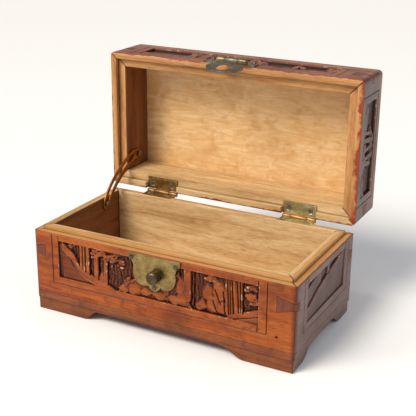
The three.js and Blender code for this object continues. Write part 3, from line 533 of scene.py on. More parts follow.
RUN_OVER = {"front": 0.9, "right": 3.7, "back": 1.5, "left": 0.8}
SIDE_SHAPES = {
    "front": (HALF_W, HALF_D, 0.0),
    "right": (HALF_D, HALF_W, math.pi / 2),
    "back": (HALF_W, HALF_D, math.pi),
    "left": (HALF_D, HALF_W, -math.pi / 2),
}


def edge_arc(centre, radius, start, stop, steps):
    """Points of a quarter circle, given as (inset, height), between two angles in degrees."""
    angles = np.radians(np.linspace(start, stop, steps))
    return [(centre[0] + radius * math.cos(a), centre[1] + radius * math.sin(a)) for a in angles]


def base_section(rise):
    """Outer face, ledge, lip and inner face of a base board, every arris eased a little."""
    lip_top = LEDGE + LIP_HEIGHT
    section = edge_arc((0.6, WALL_FOOT + 0.6), 0.6, 250, 180, 3)
    face = [(0.0, z) for z in np.arange(WALL_FOOT + 1.1, LEDGE - 1.4, rise)]
    section += face
    section += edge_arc((1.1, LEDGE - 1.1), 1.1, 180, 90, 5)
    face_rows = np.arange(3, 3 + len(face))
    section += [(o, LEDGE) for o in (2.4, 4.2, 6.0, 7.2)]
    section += [(LIP_INSET, LEDGE + h) for h in (0.1, 1.5, LIP_HEIGHT - 0.7)]
    section += edge_arc((LIP_INSET + 0.6, lip_top - 0.6), 0.6, 150, 90, 3)
    section += [(o, lip_top) for o in (10.5, LEAF_EDGE - 0.03, LEAF_EDGE + 0.03, 14.6)]
    section += edge_arc((WALL - 0.7, lip_top - 0.7), 0.7, 80, 0, 4)
    section += [(WALL, z) for z in np.linspace(lip_top - 3, WALL_FOOT + 1, 12)]
    section += [(WALL - 1, WALL_FOOT), (1.5, WALL_FOOT)]
    return section, face_rows


def lid_section(rise):
    """Outer face, rim band, step and inner face of a lid board, in its closed place."""
    top = LID_WALL_TOP
    step = LEDGE + STEP_RISE
    section = [(0.15, top), *[(0.0, z) for z in np.arange(top - 0.5, RIM + 1.0, -rise)]]
    face_rows = np.arange(1, len(section))
    section += edge_arc((0.8, RIM + 0.8), 0.8, 190, 270, 4)
    section += [(2.5, RIM), (4.5, RIM), (BAND - 0.6, RIM)]
    section += edge_arc((BAND - 0.5, RIM + 0.5), 0.5, 280, 360, 3)
    section += [(BAND, RIM + 2.5), (BAND, step - 0.05)]
    section += [(9.0, step), (11.0, step), (LEAF_EDGE - 0.03, step), (LEAF_EDGE + 0.03, step), (15.2, step)]
    section += edge_arc((WALL - 0.5, step + 0.5), 0.5, 290, 360, 3)
    section += [(WALL, z) for z in np.linspace(step + 4, top, 10)]
    section += [(8.0, top)]
    return section, face_rows


def hinge_places(x, margin):
    """True where a column lies under either hinge, or within the margin of its ends."""
    return np.abs(np.abs(x) - HINGE_X) < HINGE_HALF + margin


def base_hinge_seats(x, inset, height):
    """Under each leaf the ledge stands up as a seat and the lip is let down to the same height."""
    let_down = hinge_places(x, 0.05) & (inset < LEAF_EDGE) & (height >= LEDGE - 0.01)
    return inset, np.where(let_down, SEAT_TOP + 0.01 * (height - LEDGE), height)


def lid_hinge_notches(x, inset, height):
    """Over each leaf the rim band is cut away, up to a little above the leaf."""
    top = LID_WALL_TOP
    share = (height - RIM) / (top - RIM)
    notch = hinge_places(x, 0.9) & (inset < LEAF_EDGE)
    lifted = LID_NOTCH_TOP + share * (top - LID_NOTCH_TOP)
    edge = notch & (inset < 0.9) & (height > RIM + 0.9)
    low = notch & ~edge & (height < LEDGE + STEP_RISE + 0.1)
    height = np.where(edge, lifted, height)
    return inset, np.where(low, LID_NOTCH_TOP + 0.02 * (height - RIM), height)


# %% [markdown]
# ## Wood finishes
# Camphor is a pale, coarse wood with soft streaks. Outside, the maker brushed on a red-brown stain
# and a thin varnish; inside it is bare. One function paints both, because the stain's ragged edge
# has to run over the arris: the stain attribute, roughened by noise, decides which colour shows.

# %% Camphor wood
GRAIN_TURNS = {"x": (0, 0, 0), "y": (0, 0, math.pi / 2), "z": (0, math.pi / 2, 0)}


def mix_colour(tree, factor, first, second, blend="MIX"):
    """Blends two colours, each a hex word or a socket, by a factor socket or number."""
    settings = {"data_type": "RGBA", "blend_type": blend}
    links = {}
    for place, value in ((0, factor), (6, first), (7, second)):
        if isinstance(value, str):
            settings[place] = linear(value)
        elif isinstance(value, (int, float)):
            settings[place] = value
        else:
            links[place] = value
    return add(tree, "ShaderNodeMix", settings, links).outputs[2]


def ramp(tree, source, low, high, bottom=0.0, top=1.0):
    """Spreads the part of a value between low and high over bottom to top."""
    return add(tree, "ShaderNodeMapRange", {1: low, 2: high, 3: bottom, 4: top}, {0: source}).outputs[0]


def camphor(name, grain, pale, stained, varnished, specular=0.3, figure=(9, 110, 110), curl=0.6, pored=0.55):
    """Camphor wood. pale and stained are three hex colours each: light, middle and streak.

    figure is how many growth bands pass per metre along and across the grain; curl bends them. pored
    is how far the pores darken the wood."""
    material, tree, shader = new_material(name)
    where = add(tree, "ShaderNodeTexCoord").outputs["Object"]
    turned = add(tree, "ShaderNodeMapping", {"Rotation": GRAIN_TURNS[grain]}, {0: where}).outputs[0]
    # growth bands, by default about 9 mm apart across the grain and drawn out twelve times along it
    long_grain = add(tree, "ShaderNodeMapping", {"Scale": figure}, {0: turned}).outputs[0]
    bands = add(tree, "ShaderNodeTexNoise",
                {"Scale": 1.0, "Detail": 5.0, "Roughness": 0.6, "Distortion": curl},
                {"Vector": long_grain}).outputs["Fac"]
    # fibres 0.4 mm wide, drawn at 1 mm so that they show, and dark pores about 8 mm long
    fibre_space = add(tree, "ShaderNodeMapping", {"Scale": (95, 900, 900)}, {0: turned}).outputs[0]
    fibres = add(tree, "ShaderNodeTexNoise", {"Scale": 1.0, "Detail": 4.0, "Roughness": 0.7},
                 {"Vector": fibre_space}).outputs["Fac"]
    pore_space = add(tree, "ShaderNodeMapping", {"Scale": (120, 650, 650)}, {0: turned}).outputs[0]
    pores = add(tree, "ShaderNodeTexNoise", {"Scale": 1.0, "Detail": 2.0},
                {"Vector": pore_space}).outputs["Fac"]
    clouds = add(tree, "ShaderNodeTexNoise", {"Scale": 28.0, "Detail": 4.0}, {"Vector": where}).outputs["Fac"]

    bare = mix_colour(tree, ramp(tree, bands, 0.38, 0.62), pale[0], pale[1])
    bare = mix_colour(tree, ramp(tree, bands, 0.60, 0.74, 0, 0.7), bare, pale[2])
    bare = mix_colour(tree, ramp(tree, fibres, 0.45, 0.72, 0.0, 0.5), bare, pale[2])
    bare = mix_colour(tree, ramp(tree, fibres, 0.44, 0.26, 0.0, 0.6), bare, pale[0])
    bare = mix_colour(tree, ramp(tree, pores, 0.66, 0.74, 0.0, pored), bare, "#6A4C30")
    deep = mix_colour(tree, ramp(tree, bands, 0.36, 0.64), stained[0], stained[1])
    deep = mix_colour(tree, ramp(tree, clouds, 0.50, 0.75, 0, 0.6), deep, stained[2])
    blotches = add(tree, "ShaderNodeTexNoise", {"Scale": 90.0, "Detail": 5.0, "Roughness": 0.7},
                   {"Vector": where}).outputs["Fac"]
    deep = mix_colour(tree, ramp(tree, blotches, 0.52, 0.68, 0, 0.55), deep, stained[2])
    deep = mix_colour(tree, ramp(tree, fibres, 0.42, 0.78, 0.0, 0.5), deep, stained[2])
    deep = mix_colour(tree, ramp(tree, pores, 0.60, 0.72, 0.0, pored), deep, "#4A2012")

    sunk_depth = add(tree, "ShaderNodeAttribute", {"attribute_name": "sunk"}).outputs["Fac"]
    cavity = add(tree, "ShaderNodeAttribute", {"attribute_name": "cavity"}).outputs["Fac"]
    deep = mix_colour(tree, ramp(tree, sunk_depth, 0.1, 2.2, 0, 0.85), deep, "#3C160B")
    # painted shade: the carving's narrow hollows are darkened to near black
    deep = mix_colour(tree, ramp(tree, cavity, -0.03, -0.35, 0, 0.95), deep, "#1A0B07")
    # painted highlight: the carving's raised edges are lightened
    deep = mix_colour(tree, ramp(tree, cavity, 0.10, 0.6, 0, 0.35), deep, "#A85626")
    # painted highlight: pale specks along the carving's raised edges stand in for glints on the varnish
    glint_specks = add(tree, "ShaderNodeTexNoise", {"Scale": 190.0, "Detail": 2.0}, {"Vector": where}).outputs["Fac"]
    painted_glint = add(tree, "ShaderNodeMath", {"operation": "MULTIPLY"},
               {0: ramp(tree, cavity, 0.30, 0.70, 0, 0.8), 1: ramp(tree, glint_specks, 0.57, 0.66)}).outputs[0]
    deep = mix_colour(tree, painted_glint, deep, "#C9AE94")
    corner = add(tree, "ShaderNodeAttribute", {"attribute_name": "corner"}).outputs["Fac"]
    deep = mix_colour(tree, ramp(tree, corner, 0.2, 0.9, 0, 0.65), deep, "#4E1C10")

    stain = add(tree, "ShaderNodeAttribute", {"attribute_name": "stain"}).outputs["Fac"]
    ragged = add(tree, "ShaderNodeTexNoise", {"Scale": 110.0, "Detail": 4.0},
                 {"Vector": where}).outputs["Fac"]
    shift = add(tree, "ShaderNodeMath", {"operation": "MULTIPLY_ADD", 1: 0.7, 2: -0.35},
                {0: ragged}).outputs[0]
    edge = add(tree, "ShaderNodeMath", {"operation": "ADD"}, {0: stain, 1: shift}).outputs[0]
    amber = add(tree, "ShaderNodeAttribute", {"attribute_name": "amber"}).outputs["Fac"]
    drips = add(tree, "ShaderNodeMath", {"operation": "ADD"}, {0: amber, 1: shift}).outputs[0]
    bare = mix_colour(tree, ramp(tree, drips, 0.35, 0.75, 0, 0.6), bare, "#B0732E")
    colour = mix_colour(tree, ramp(tree, edge, 0.30, 0.44), bare, "#8C3614")
    colour = mix_colour(tree, ramp(tree, edge, 0.62, 0.80), colour, deep)
    # seam darkens the mitres' joints, and paints shade into the corner at the foot of the lip or rim
    seam = add(tree, "ShaderNodeAttribute", {"attribute_name": "seam"}).outputs["Fac"]
    colour = mix_colour(tree, ramp(tree, seam, 0.1, 0.9, 0, 0.85), colour, "#3A1C0C")
    tree.links.new(colour, shader.inputs["Base Color"])

    rough = ramp(tree, clouds, 0.3, 0.7, 0.36, 0.52) if varnished else ramp(tree, fibres, 0.3, 0.7, 0.55, 0.7)
    tree.links.new(rough, shader.inputs["Roughness"])
    shader.inputs["IOR"].default_value = 1.5
    shader.inputs["Specular IOR Level"].default_value = specular
    bump = add(tree, "ShaderNodeBump", {"Strength": 0.25, "Distance": 0.0003}, {"Height": fibres})
    tree.links.new(bump.outputs[0], shader.inputs["Normal"])
    return material


# bare boards run from cream to tan; the left boards' inner faces are browner and darkened further by
# painted shade; the stain is orange-red on the front, darker and greyer on the ends, which is painted
# shade and painted sheen, and duller on the lid
BARE = ("#DCBB8A", "#C09864", "#84603A")
BROWN_BARE_AND_PAINTED_SHADE = ("#8A5428", "#70401E", "#4C2C14")
RIM_BARE = ("#C8945C", "#A87444", "#764A28")
LID_BARE = ("#E9C796", "#D9AB6E", "#C28D50")
STAINED_FRONT = ("#A85820", "#883C18", "#542210")
# the ends' stain is darker and greyer than the front's: painted shade and a painted sheen of the varnish
SIDE_STAIN_SHADE_AND_SHEEN = ("#7E5C50", "#6A4A40", "#46342E")
LID_SIDE_STAIN_SHADE_AND_SHEEN = ("#6C5048", "#56403A", "#3A2C28")
LID_OUTSIDE = ("#94583E", "#7A4631", "#4E2C20")
PLINTH_STAIN = ("#8E4C26", "#6C3A22", "#4A2818")
outside_front = camphor("stained camphor, long grain", "x", BARE, STAINED_FRONT, True, 0.22)
# side boards: stain with painted shade and painted sheen
outside_side = camphor("stained camphor, side boards, painted shade and sheen", "y", BARE, SIDE_STAIN_SHADE_AND_SHEEN, True, 0.5)
inside_front = camphor("bare camphor, long grain", "x", BARE, STAINED_FRONT, False,
                       figure=(7, 75, 75), curl=1.2)
inside_side = camphor("bare camphor, side boards", "y", BARE, SIDE_STAIN_SHADE_AND_SHEEN, False)
# left board's inner face: browner wood with painted shade
inside_left = camphor("bare camphor, browner with painted shade, left board", "y", BROWN_BARE_AND_PAINTED_SHADE, SIDE_STAIN_SHADE_AND_SHEEN, False)
lid_outside = camphor("stained camphor, lid long grain", "x", BARE, LID_OUTSIDE, True, 0.4)
# lid side boards: stain with painted shade and painted sheen
lid_outside_side = camphor("stained camphor, lid side boards, painted shade and sheen", "z", BARE, LID_SIDE_STAIN_SHADE_AND_SHEEN, True, 0.45)
lid_inside = camphor("bare camphor, lid back board", "x", BARE, LID_OUTSIDE, False)
lid_inside_front = camphor("bare camphor, lid front board", "x", RIM_BARE, LID_OUTSIDE, False)
lid_inside_side = camphor("bare camphor, lid side boards", "z", RIM_BARE, LID_SIDE_STAIN_SHADE_AND_SHEEN, False)
# lid left board's inner face: browner wood with painted shade
lid_inside_left = camphor("bare camphor, browner with painted shade, lid left board", "z", BROWN_BARE_AND_PAINTED_SHADE, LID_SIDE_STAIN_SHADE_AND_SHEEN, False)
plinth_long = camphor("stained camphor, plinth", "x", BARE, PLINTH_STAIN, True, 0.25)
# plinth ends: the side boards' stain, with its painted shade and painted sheen
plinth_short = camphor("stained camphor, plinth ends, painted shade and sheen", "y", BARE, SIDE_STAIN_SHADE_AND_SHEEN, True, 0.5)

# %% [markdown]
# ## The base's four boards
# Each board is mitred at both ends, carries a raised lip for the lid and has dark dovetail keys let
# into its corners. Four flat slabs would do, but the stain, the mitres and the carving all follow the
# surface, so each board is its own section carried along its length with the relief taken off it.

# %% Base boards
FIELD_TOP = LEDGE - 7.0
FIELD_TALL = 40.0
FIELD_LOW = FIELD_TOP - FIELD_TALL
FRAME_WIDTH = 7.8
KEY_HEIGHT = LEDGE - 20.5
LID_KEY_HEIGHT = RIM + 27
LONG_ENDS = (-HALF_W + 31.0, HALF_W - 38.7)
SIDE_ENDS = (-HALF_D + 27.0, HALF_D - 27.0)
NAIL_RADIUS = 1.1
CARVED_STEP, LID_STEP = 0.56, 0.6
PLAIN_RISE, PLAIN_STEP = 0.9, 1.2


def base_relief(scene, side, ends):
    """Sunk scene, a line below and beside it, its uprights run on to the ledge, keys and a nail hole."""
    half = SIDE_SHAPES[side][0]
    left, right, low = ends[0] - FRAME_WIDTH, ends[1] + FRAME_WIDTH + 1.5, FIELD_LOW - FRAME_WIDTH
    paths = [[(left, LEDGE), (left, low), (right, low), (right, LEDGE)],
             [(ends[0], FIELD_TOP), (ends[0], LEDGE)], [(ends[1], low), (ends[1], LEDGE)]]
    nail = (right + 10.5, low + 0.6)

    def relief(x, z):
        face = sunk(scene, x, z, ends, FIELD_LOW, FIELD_TALL)
        line = lines(x, z, paths)
        hole = np.where(np.hypot(x - nail[0], z - nail[1]) < NAIL_RADIUS, -1.2, 0.0)
        housing = key_housing(x, z, half, KEY_HEIGHT, KEY_LENGTHS[side])
        return face + np.where(face == 0, np.minimum(line, hole), 0) + housing
    return relief


def plain_relief(side, key_height):
    """A plain face with only the key housings let in."""
    return lambda x, z: key_housing(x, z, SIDE_SHAPES[side][0], key_height, KEY_LENGTHS[side])


def darken_inner_face(piece):
    """Gives the faces at the board's full thickness the third material: browner wood, darkened further as
    painted shade.
    """
    inner = -HALF_W + WALL - 0.8
    for face in piece.data.polygons:
        if face.center.x / MM > inner:
            face.material_index = 2


def finish_board(piece, node, body):
    """Puts the board on the body it rides on and hides the model part it stands for."""
    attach(piece, body)
    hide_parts(node)


section, face_rows = base_section(CARVED_STEP)
front_board = board("base_front_board", "front", section, face_rows, CARVED_STEP,
                    base_relief(front_scene, "front", LONG_ENDS), materials=(outside_front, inside_front))
finish_board(front_board, "base_front_wall", "base")
for side in ("right", "left"):
    piece = board(f"base_{side}_board", side, section, face_rows, CARVED_STEP,
                  base_relief(side_scene, side, SIDE_ENDS),
                  materials=(outside_side, inside_side, inside_left))
    if side == "left":
        darken_inner_face(piece)
    finish_board(piece, f"base_{side}_wall", "base")
# fine columns round each hinge end, run on outwards because the mitre draws the inner rows inwards
HINGE_BREAKS = [s * place for s in (-1, 1) for end in (HINGE_X - HINGE_HALF, HINGE_X + HINGE_HALF)
                for place in np.arange(end - 1.5, end * 1.11 + 1, 0.35)]
plain_section, plain_rows = base_section(PLAIN_RISE)
back_board = board("base_back_board", "back", plain_section, plain_rows, PLAIN_STEP,
                   plain_relief("back", KEY_HEIGHT), breaks=HINGE_BREAKS, reshape=base_hinge_seats,
                   materials=(outside_front, inside_front))
finish_board(back_board, "base_back_wall", "base")

# %% [markdown]
# ## The lid's four boards
# The lid is made as the base is, with a rebated rim in place of the lip. Its boards are worked out in
# their closed places, where the rim's fit over the lip is easy to see, and then swung open.

# %% Lid boards
def lid_relief(seed, side, ends):
    """A sunk garden scene with an incised line round it, and the key housings."""
    half = SIDE_SHAPES[side][0]
    low, tall = RIM + 9, 34.0
    left, right, high = ends[0] - FRAME_WIDTH, ends[1] + FRAME_WIDTH, low + tall + 5

    def relief(x, z):
        face = sunk(lambda a, b, c, d: garden_scene(a, b, c, d, seed), x, z, ends, low, tall)
        line = lines(x, z, [[(left, RIM), (left, high), (right, high), (right, RIM)]])
        housing = key_housing(x, z, half, LID_KEY_HEIGHT, KEY_LENGTHS[side])
        return face + np.where(face == 0, line, 0) + housing
    return relief


lid_profile, lid_rows = lid_section(CARVED_STEP)
lid_front = board("lid_front_board", "front", lid_profile, lid_rows, LID_STEP,
                  lid_relief(7, "front", LONG_ENDS), lid=True, materials=(lid_outside, lid_inside_front))
finish_board(lid_front, "lid_front_wall", "lid")
for side, seed in (("right", 11), ("left", 12)):
    piece = board(f"lid_{side}_board", side, lid_profile, lid_rows, LID_STEP,
                  lid_relief(seed, side, SIDE_ENDS), lid=True,
                  materials=(lid_outside_side, lid_inside_side, lid_inside_left))
    if side == "left":
        darken_inner_face(piece)
    finish_board(piece, f"lid_{side}_wall", "lid")
plain_lid_profile, plain_lid_rows = lid_section(PLAIN_RISE)
lid_back = board("lid_back_board", "back", plain_lid_profile, plain_lid_rows, PLAIN_STEP,
                 plain_relief("back", LID_KEY_HEIGHT), breaks=HINGE_BREAKS, reshape=lid_hinge_notches,
                 lid=True, materials=(lid_outside, lid_inside))
finish_board(lid_back, "lid_back_wall", "lid")

# %% [markdown]
# ## Lid top
# The top board has soft rounded edges and its own carved field. It is a height field over a
# rectangle whose corners are squeezed onto quarter circles; the flat underside is one face.

# %% Lid top
TOP_EDGE = 4.6
TOP_REACH_X, TOP_REACH_Y = HALF_W - 24, HALF_D - 24


def eased_places(half, step):
    """Even places with a sine-spaced run over the rounded edge at each end."""
    curve = half - TOP_EDGE + TOP_EDGE * np.sin(np.linspace(0, math.pi / 2, 9))[1:]
    body = np.linspace(-half + TOP_EDGE, half - TOP_EDGE, int(2 * half / step))
    return np.concatenate([-curve[::-1], body, curve])


def lid_top_board():
    """Height field: scene inside the field, circle drop at the edges, corners squeezed to arcs."""
    px, py = eased_places(HALF_W, 0.9), eased_places(HALF_D, 0.9)
    x, y = np.meshgrid(px, py, indexing="ij")
    over_x = np.maximum(0, np.abs(x) - (HALF_W - CORNER))
    over_y = np.maximum(0, np.abs(y) - (HALF_D - CORNER))
    squeeze = np.maximum(over_x, over_y) / np.maximum(np.hypot(over_x, over_y), 1e-9)
    both = (over_x > 0) & (over_y > 0)
    near = np.maximum(0, TOP_EDGE - np.minimum(HALF_W - np.abs(x), HALF_D - np.abs(y)))
    drop = TOP_EDGE - np.sqrt(np.maximum(0, TOP_EDGE ** 2 - near ** 2))
    inside = (np.abs(x) < TOP_REACH_X) & (np.abs(y) < TOP_REACH_Y)
    scene = garden_scene(x, y + TOP_REACH_Y, TOP_REACH_X, 2 * TOP_REACH_Y, 31)
    line = -groove(x, y, [(-TOP_REACH_X - 8, -TOP_REACH_Y - 8), (TOP_REACH_X + 8, -TOP_REACH_Y - 8),
                          (TOP_REACH_X + 8, TOP_REACH_Y + 8), (-TOP_REACH_X - 8, TOP_REACH_Y + 8),
                          (-TOP_REACH_X - 8, -TOP_REACH_Y - 8)], 0.6, 0.9)
    cut = np.where(inside, np.minimum(scene, -0.05), line)
    x = np.where(both, np.sign(x) * (HALF_W - CORNER + over_x * squeeze), x)
    y = np.where(both, np.sign(y) * (HALF_D - CORNER + over_y * squeeze), y)
    upper = np.stack([x, y, LID_TOP - drop + cut], axis=-1)
    rows, columns = x.shape
    rim = np.concatenate([np.arange(columns), np.arange(1, rows) * columns + columns - 1,
                          (rows - 1) * columns + np.arange(columns - 2, -1, -1),
                          np.arange(rows - 2, 0, -1) * columns])
    lower = upper.reshape(-1, 3)[rim].copy()
    lower[:, 2] = LID_BOARD
    points = np.concatenate([upper.reshape(-1, 3), lower])
    first = rows * columns
    ring = np.arange(rim.size)
    walls = np.stack([rim, np.roll(rim, -1), first + np.roll(ring, -1), first + ring], axis=-1)
    quads = grid_faces(rows, columns, False)
    faces = quads.tolist() + walls.tolist() + [tuple((first + ring).tolist())]
    flat = np.zeros(rim.size)
    attributes = {
        "stain": np.ones(first + rim.size),
        "cavity": np.concatenate([(cut - blurred(cut, 4)).ravel(), flat]),
        "sunk": np.concatenate([-cut.ravel(), flat]),
    }
    slots = np.concatenate([np.zeros(len(quads) + len(walls)), [1]])
    return make_piece("lid_top_board", into_frame(swing_open(points)), faces, attributes,
                      (lid_outside, lid_panel_inside), slots)


lid_panel_inside = camphor("bare camphor, lid panel", "x", LID_BARE, LID_BARE, False, figure=(22, 90, 90),
                           curl=1.6, pored=0.0)
lid_top = lid_top_board()
finish_board(lid_top, "lid_top", "lid")

# %% [markdown]
# ## Plinth
# Four shaped boards make the foot. The underside of each rises over an arch with an ogee at both
# ends, so the lower edge is a function of the place along the board.

# %% Plinth
PLINTH_TOP = plinth_high[2]
PLINTH_BAND = 8.0
PLINTH_INSET, PLINTH_BAND_INSET = 2.0, 0.4
PLINTH_THICK = 18.0
APRON = 11.0
LONG_FEET = ((58.5, 16.0), (52.3, 27.4))
SHORT_FEET = ((26.0, 20.6), (26.0, 20.6))


def arch(x, half, feet):
    """Underside height: zero under both feet, a smooth S up each ogee, level under the apron.

    The S is the cubic three s squared less two s cubed, where s is how far the ogee has run."""
    left = np.clip((x + half - feet[0][0]) / feet[0][1], 0, 1)
    right = np.clip((half - feet[1][0] - x) / feet[1][1], 0, 1)
    run = np.minimum(left, right)
    return APRON * run * run * (3 - 2 * run)


def plinth_section():
    """Rounded lower arris, foot, small step out to the band, eased top and plain inner face.

    Heights below the band are shares of the way up to it; the band's own heights are added to one."""
    foot = [(PLINTH_INSET, s) for s in np.linspace(0.08, 0.97, 18)]
    band = [(PLINTH_BAND_INSET, 1 + s) for s in np.linspace(0.08, 0.9, 8)]
    rear = PLINTH_INSET + PLINTH_THICK
    return ([(PLINTH_INSET + 1.0, 0.0), (PLINTH_INSET + 0.3, 0.02)] + foot +
            [(PLINTH_INSET - 0.1, 1.0), (PLINTH_BAND_INSET + 0.4, 1.01)] + band +
            [(PLINTH_BAND_INSET + 0.3, 1.96), (PLINTH_BAND_INSET + 1.0, 2.0)] +
            [(rear, 2.0), (rear, 1.0), (rear, 0.0)])


def plinth_arch(half, feet):
    """Turns each row's share into a real height: up to the band first, then over the band."""
    def reshape(x, inset, height):
        low = arch(x, half, feet)
        band_foot = PLINTH_TOP - PLINTH_BAND
        below = low + np.minimum(height, 1) * (band_foot - low)
        return inset, below + np.maximum(height - 1, 0) * PLINTH_BAND
    return reshape


for side in SIDE_SHAPES:
    half = SIDE_SHAPES[side][0]
    long_side = side in ("front", "back")
    feet = LONG_FEET if long_side else SHORT_FEET
    materials = (plinth_long, plinth_long) if long_side else (plinth_short, plinth_short)
    piece = board(f"plinth_{side}_board", side, plinth_section(), np.arange(2, 30), 0.8,
                  reshape=plinth_arch(half, feet), materials=materials)
    whole = np.ones(len(piece.data.vertices), dtype=np.float32)
    piece.data.attributes["stain"].data.foreach_set("value", whole)
    finish_board(piece, f"plinth_{side}", "base")

# %% [markdown]
# ## Brass and steel
# The sheet brass has dulled to olive with darker spots, the hinge knuckles are rubbed to a warmer
# tone, and the screws are dulled steel. The model's own shapes are right for the sheet pieces, so
# they could be left as they are; copies with a small bevel catch the light as worn edges do.

# %% Metal finishes
HINGE_FRAME_Y = (HINGE_Y + MIDDLE_Y) * MM
BARREL_REACH = 0.0029


def metal(name, colours, rough, spot_scale, bump_height=0.00008, barrel=None):
    """Aged metal: light, middle and spot colours over noise, roughness rising in the spots.

    barrel, a hex colour, is the rubbed tone of whatever lies within 2.9 mm of the lid's hinge axis."""
    material, tree, shader = new_material(name)
    where = add(tree, "ShaderNodeTexCoord").outputs["Object"]
    patches = add(tree, "ShaderNodeTexNoise", {"Scale": spot_scale, "Detail": 6.0, "Roughness": 0.65},
                  {"Vector": where}).outputs["Fac"]
    specks = add(tree, "ShaderNodeTexNoise", {"Scale": spot_scale * 7, "Detail": 3.0},
                 {"Vector": where}).outputs["Fac"]
    colour = mix_colour(tree, ramp(tree, patches, 0.38, 0.62), colours[0], colours[1])
    colour = mix_colour(tree, ramp(tree, specks, 0.55, 0.72, 0, 0.7), colour, colours[2])
    if barrel is not None:
        axis = (0, HINGE_FRAME_Y, HINGE_Z * MM)
        from_axis = add(tree, "ShaderNodeVectorMath", {"operation": "SUBTRACT", 1: axis},
                        {0: where}).outputs[0]
        across = add(tree, "ShaderNodeVectorMath", {"operation": "MULTIPLY", 1: (0, 1, 1)},
                     {0: from_axis}).outputs[0]
        reach = add(tree, "ShaderNodeVectorMath", {"operation": "LENGTH"}, {0: across}).outputs["Value"]
        colour = mix_colour(tree, ramp(tree, reach, BARREL_REACH, BARREL_REACH - 0.0002), colour, barrel)
    tree.links.new(colour, shader.inputs["Base Color"])
    tree.links.new(ramp(tree, patches, 0.3, 0.7, rough - 0.08, rough + 0.14), shader.inputs["Roughness"])
    shader.inputs["Metallic"].default_value = 0.85
    bump = add(tree, "ShaderNodeBump", {"Strength": 0.3, "Distance": bump_height}, {"Height": specks})
    tree.links.new(bump.outputs[0], shader.inputs["Normal"])
    return material


# sheet brass is olive with brown spots; the two hinges have aged apart, one browner than the other;
# the plated flap is greyer, and pins and screws are finer, rubbed brighter or gone nearly black
plate_brass = metal("aged brass sheet", ("#A48C56", "#80693E", "#4E4028"), 0.42, 90.0)
leaf_brass = {
    "left": metal("browned brass hinge leaf", ("#A08248", "#785A2C", "#48361E"), 0.4, 120.0,
                  barrel="#84603A"),
    "right": metal("aged brass hinge leaf", ("#C4BA8C", "#988E62", "#62563A"), 0.4, 120.0,
                   barrel="#A07446"),
}
hasp_brass = metal("smoky brass hasp plate", ("#8E8460", "#625840", "#362E22"), 0.38, 120.0)
stay_brass = metal("dark brass stay", ("#A06A24", "#7C4A1A", "#46290F"), 0.38, 100.0)
flap_metal = metal("dull plated hasp flap", ("#7E7466", "#665C50", "#40382F"), 0.42, 80.0)
pin_brass = metal("rubbed brass pin", ("#C89A58", "#A87442", "#603C20"), 0.3, 200.0)
screw_steel = metal("dulled steel screw", ("#98948C", "#6E6A62", "#36322C"), 0.36, 260.0)
post_metal = metal("turned dark post", ("#66543F", "#4A3C2E", "#2A221A"), 0.38, 110.0)
pin_steel = metal("blackened dome pin", ("#6A6458", "#4A443A", "#2A2620"), 0.3, 260.0)


def eased_copy(node, material, body, slot, width=0.25):
    """A merged copy of a model node with a small bevel on its sharp edges."""
    source = frame["nodes"][node]
    mesh = source.data.copy()
    mesh.materials.clear()
    mesh.materials.append(material)
    work = bmesh.new()
    work.from_mesh(mesh)
    bmesh.ops.remove_doubles(work, verts=work.verts, dist=2e-6)
    bmesh.ops.dissolve_limit(work, angle_limit=math.radians(0.5), verts=work.verts, edges=work.edges)
    work.to_mesh(mesh)
    work.free()
    mesh.shade_smooth()
    piece = bpy.data.objects.new(node + "_eased", mesh)
    bpy.context.scene.collection.objects.link(piece)
    bevel = piece.modifiers.new("eased edges", "BEVEL")
    bevel.width = width * MM
    bevel.segments = 2
    bevel.limit_method = "ANGLE"
    bevel.angle_limit = math.radians(30)
    bevel.harden_normals = True
    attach(piece, body)
    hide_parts(node)
    return piece


METAL_PIECES = {
    "lock_plate": (plate_brass, "base", "aged_brass"), "lock_post": (post_metal, "base", "steel"),
    "stay_arm": (stay_brass, "stay", "aged_brass"), "hasp_plate": (hasp_brass, "lid", "aged_brass"),
    "hasp_flap": (flap_metal, "hasp_flap", "aged_brass"), "hasp_pin": (pin_brass, "hasp_pin", "bright_brass"),
}
for hand in ("left", "right"):
    METAL_PIECES[f"hinge_{hand}_base_leaf"] = (leaf_brass[hand], "base", "aged_brass")
    METAL_PIECES[f"hinge_{hand}_lid_leaf"] = (leaf_brass[hand], "lid", "aged_brass")
    METAL_PIECES[f"hinge_{hand}_pin"] = (pin_brass, "base", "bright_brass")
for node, (material, body, slot) in METAL_PIECES.items():
    eased_copy(node, material, body, slot)
print("metal pieces", len(METAL_PIECES))

# %% [markdown]
# ## Screws
# The model's screws are countersunk but have no slot, and one would have to be cut out of them. Here
# each is turned afresh from a profile, as on a lathe, and every slot is left at its own angle.

# %% Screws
SCREW_HEAD = 3.3
SLOT_WIDTH, SLOT_DEPTH = 1.0, 0.6


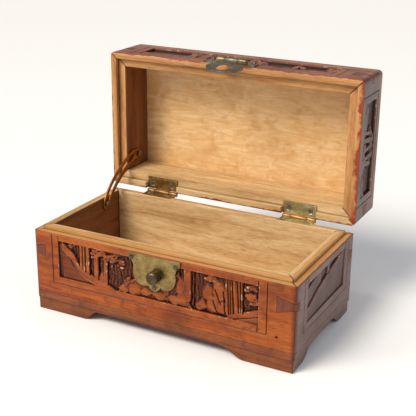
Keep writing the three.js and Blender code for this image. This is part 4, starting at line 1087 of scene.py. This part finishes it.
def turned_screw(name, node, axis, facing, radius, dome, slot_turn, material, body):
    """Head and shank turned about one axis: distance from the axis by ring, height by a profile.

    The head is a shallow dome, r squared times its rise, with a straight slot 1 mm wide and 0.6 mm deep.
    Under it the head narrows to a plain shank, which runs down to the model's own tip."""
    low, high = [np.array(corner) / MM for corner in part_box(node)]
    middle = (low + high) / 2
    length = (high - low)[axis]
    head = np.linspace(0.02, 1, 15)
    rings = np.concatenate([head, [1.0, 0.42, 0.42, 0.2]]) * radius
    drop = np.concatenate([dome * head ** 2, [dome + 0.35, dome + 1.5, length - 1.2, length]])
    angle = np.linspace(0, 2 * math.pi, 40, endpoint=False)
    r, a = np.meshgrid(rings, angle, indexing="ij")
    across, along = r * np.sin(a), r * np.cos(a)
    depth = np.repeat(drop[:, None], angle.size, axis=1)
    in_slot = np.abs(across * math.cos(slot_turn) - along * math.sin(slot_turn)) < SLOT_WIDTH / 2
    depth = depth + np.where(in_slot & (r < radius * 0.97) & (depth < dome + 0.3), SLOT_DEPTH, 0)
    top = high[axis] if facing > 0 else low[axis]
    points = np.empty(r.shape + (3,))
    points[..., axis] = top - facing * depth
    points[..., (axis + 1) % 3] = middle[(axis + 1) % 3] + across
    points[..., (axis + 2) % 3] = middle[(axis + 2) % 3] + along
    rows, columns = r.shape
    quads = grid_faces(rows, columns, False).tolist()
    seam = [(k * columns + columns - 1, k * columns, (k + 1) * columns, (k + 1) * columns + columns - 1)
            for k in range(rows - 1)]
    caps = [tuple(range(columns)), tuple(range((rows - 1) * columns, rows * columns))]
    piece = make_piece(name, points * MM, quads + seam + caps, materials=(material,))
    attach(piece, body)
    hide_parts(node)
    return piece


for k, name in enumerate(sorted(frame["nodes"])):
    if "_screw_" in name:
        lid_screw = "_lid_" in name
        turned_screw(name + "_slotted", name, 1 if lid_screw else 2, -1 if lid_screw else 1,
                     SCREW_HEAD, 0.25, 0.5 + 0.9 * k, screw_steel, "lid" if lid_screw else "base")
    elif name in ("stay_guide_screw", "stay_pivot_screw"):
        turned_screw(name + "_slotted", name, 0, 1, SCREW_HEAD, 0.5, 0.4 + k, screw_steel,
                     "base" if "guide" in name else "lid")

# %% [markdown]
# ## Pieces that keep their model shapes
# The corner keys, the floor and the dome pins are already the right shape, so they only change
# material: nearly black key wood, bare floor boards and blackened steel.

# %% Keys, floor and dome pins
KEY_STAIN = ("#7A4430", "#643828", "#42261C")
key_wood = camphor("dark key wood", "z", KEY_STAIN, KEY_STAIN, True, 0.15)
floor_wood = camphor("bare camphor, floor", "x", BARE, BARE, False)
for name, node in frame["nodes"].items():
    if "key" in name:
        node.data.materials[0] = key_wood
    elif name == "base_floor":
        node.data.materials[0] = floor_wood
    elif "plate_pin" in name:
        node.data.materials[0] = pin_steel
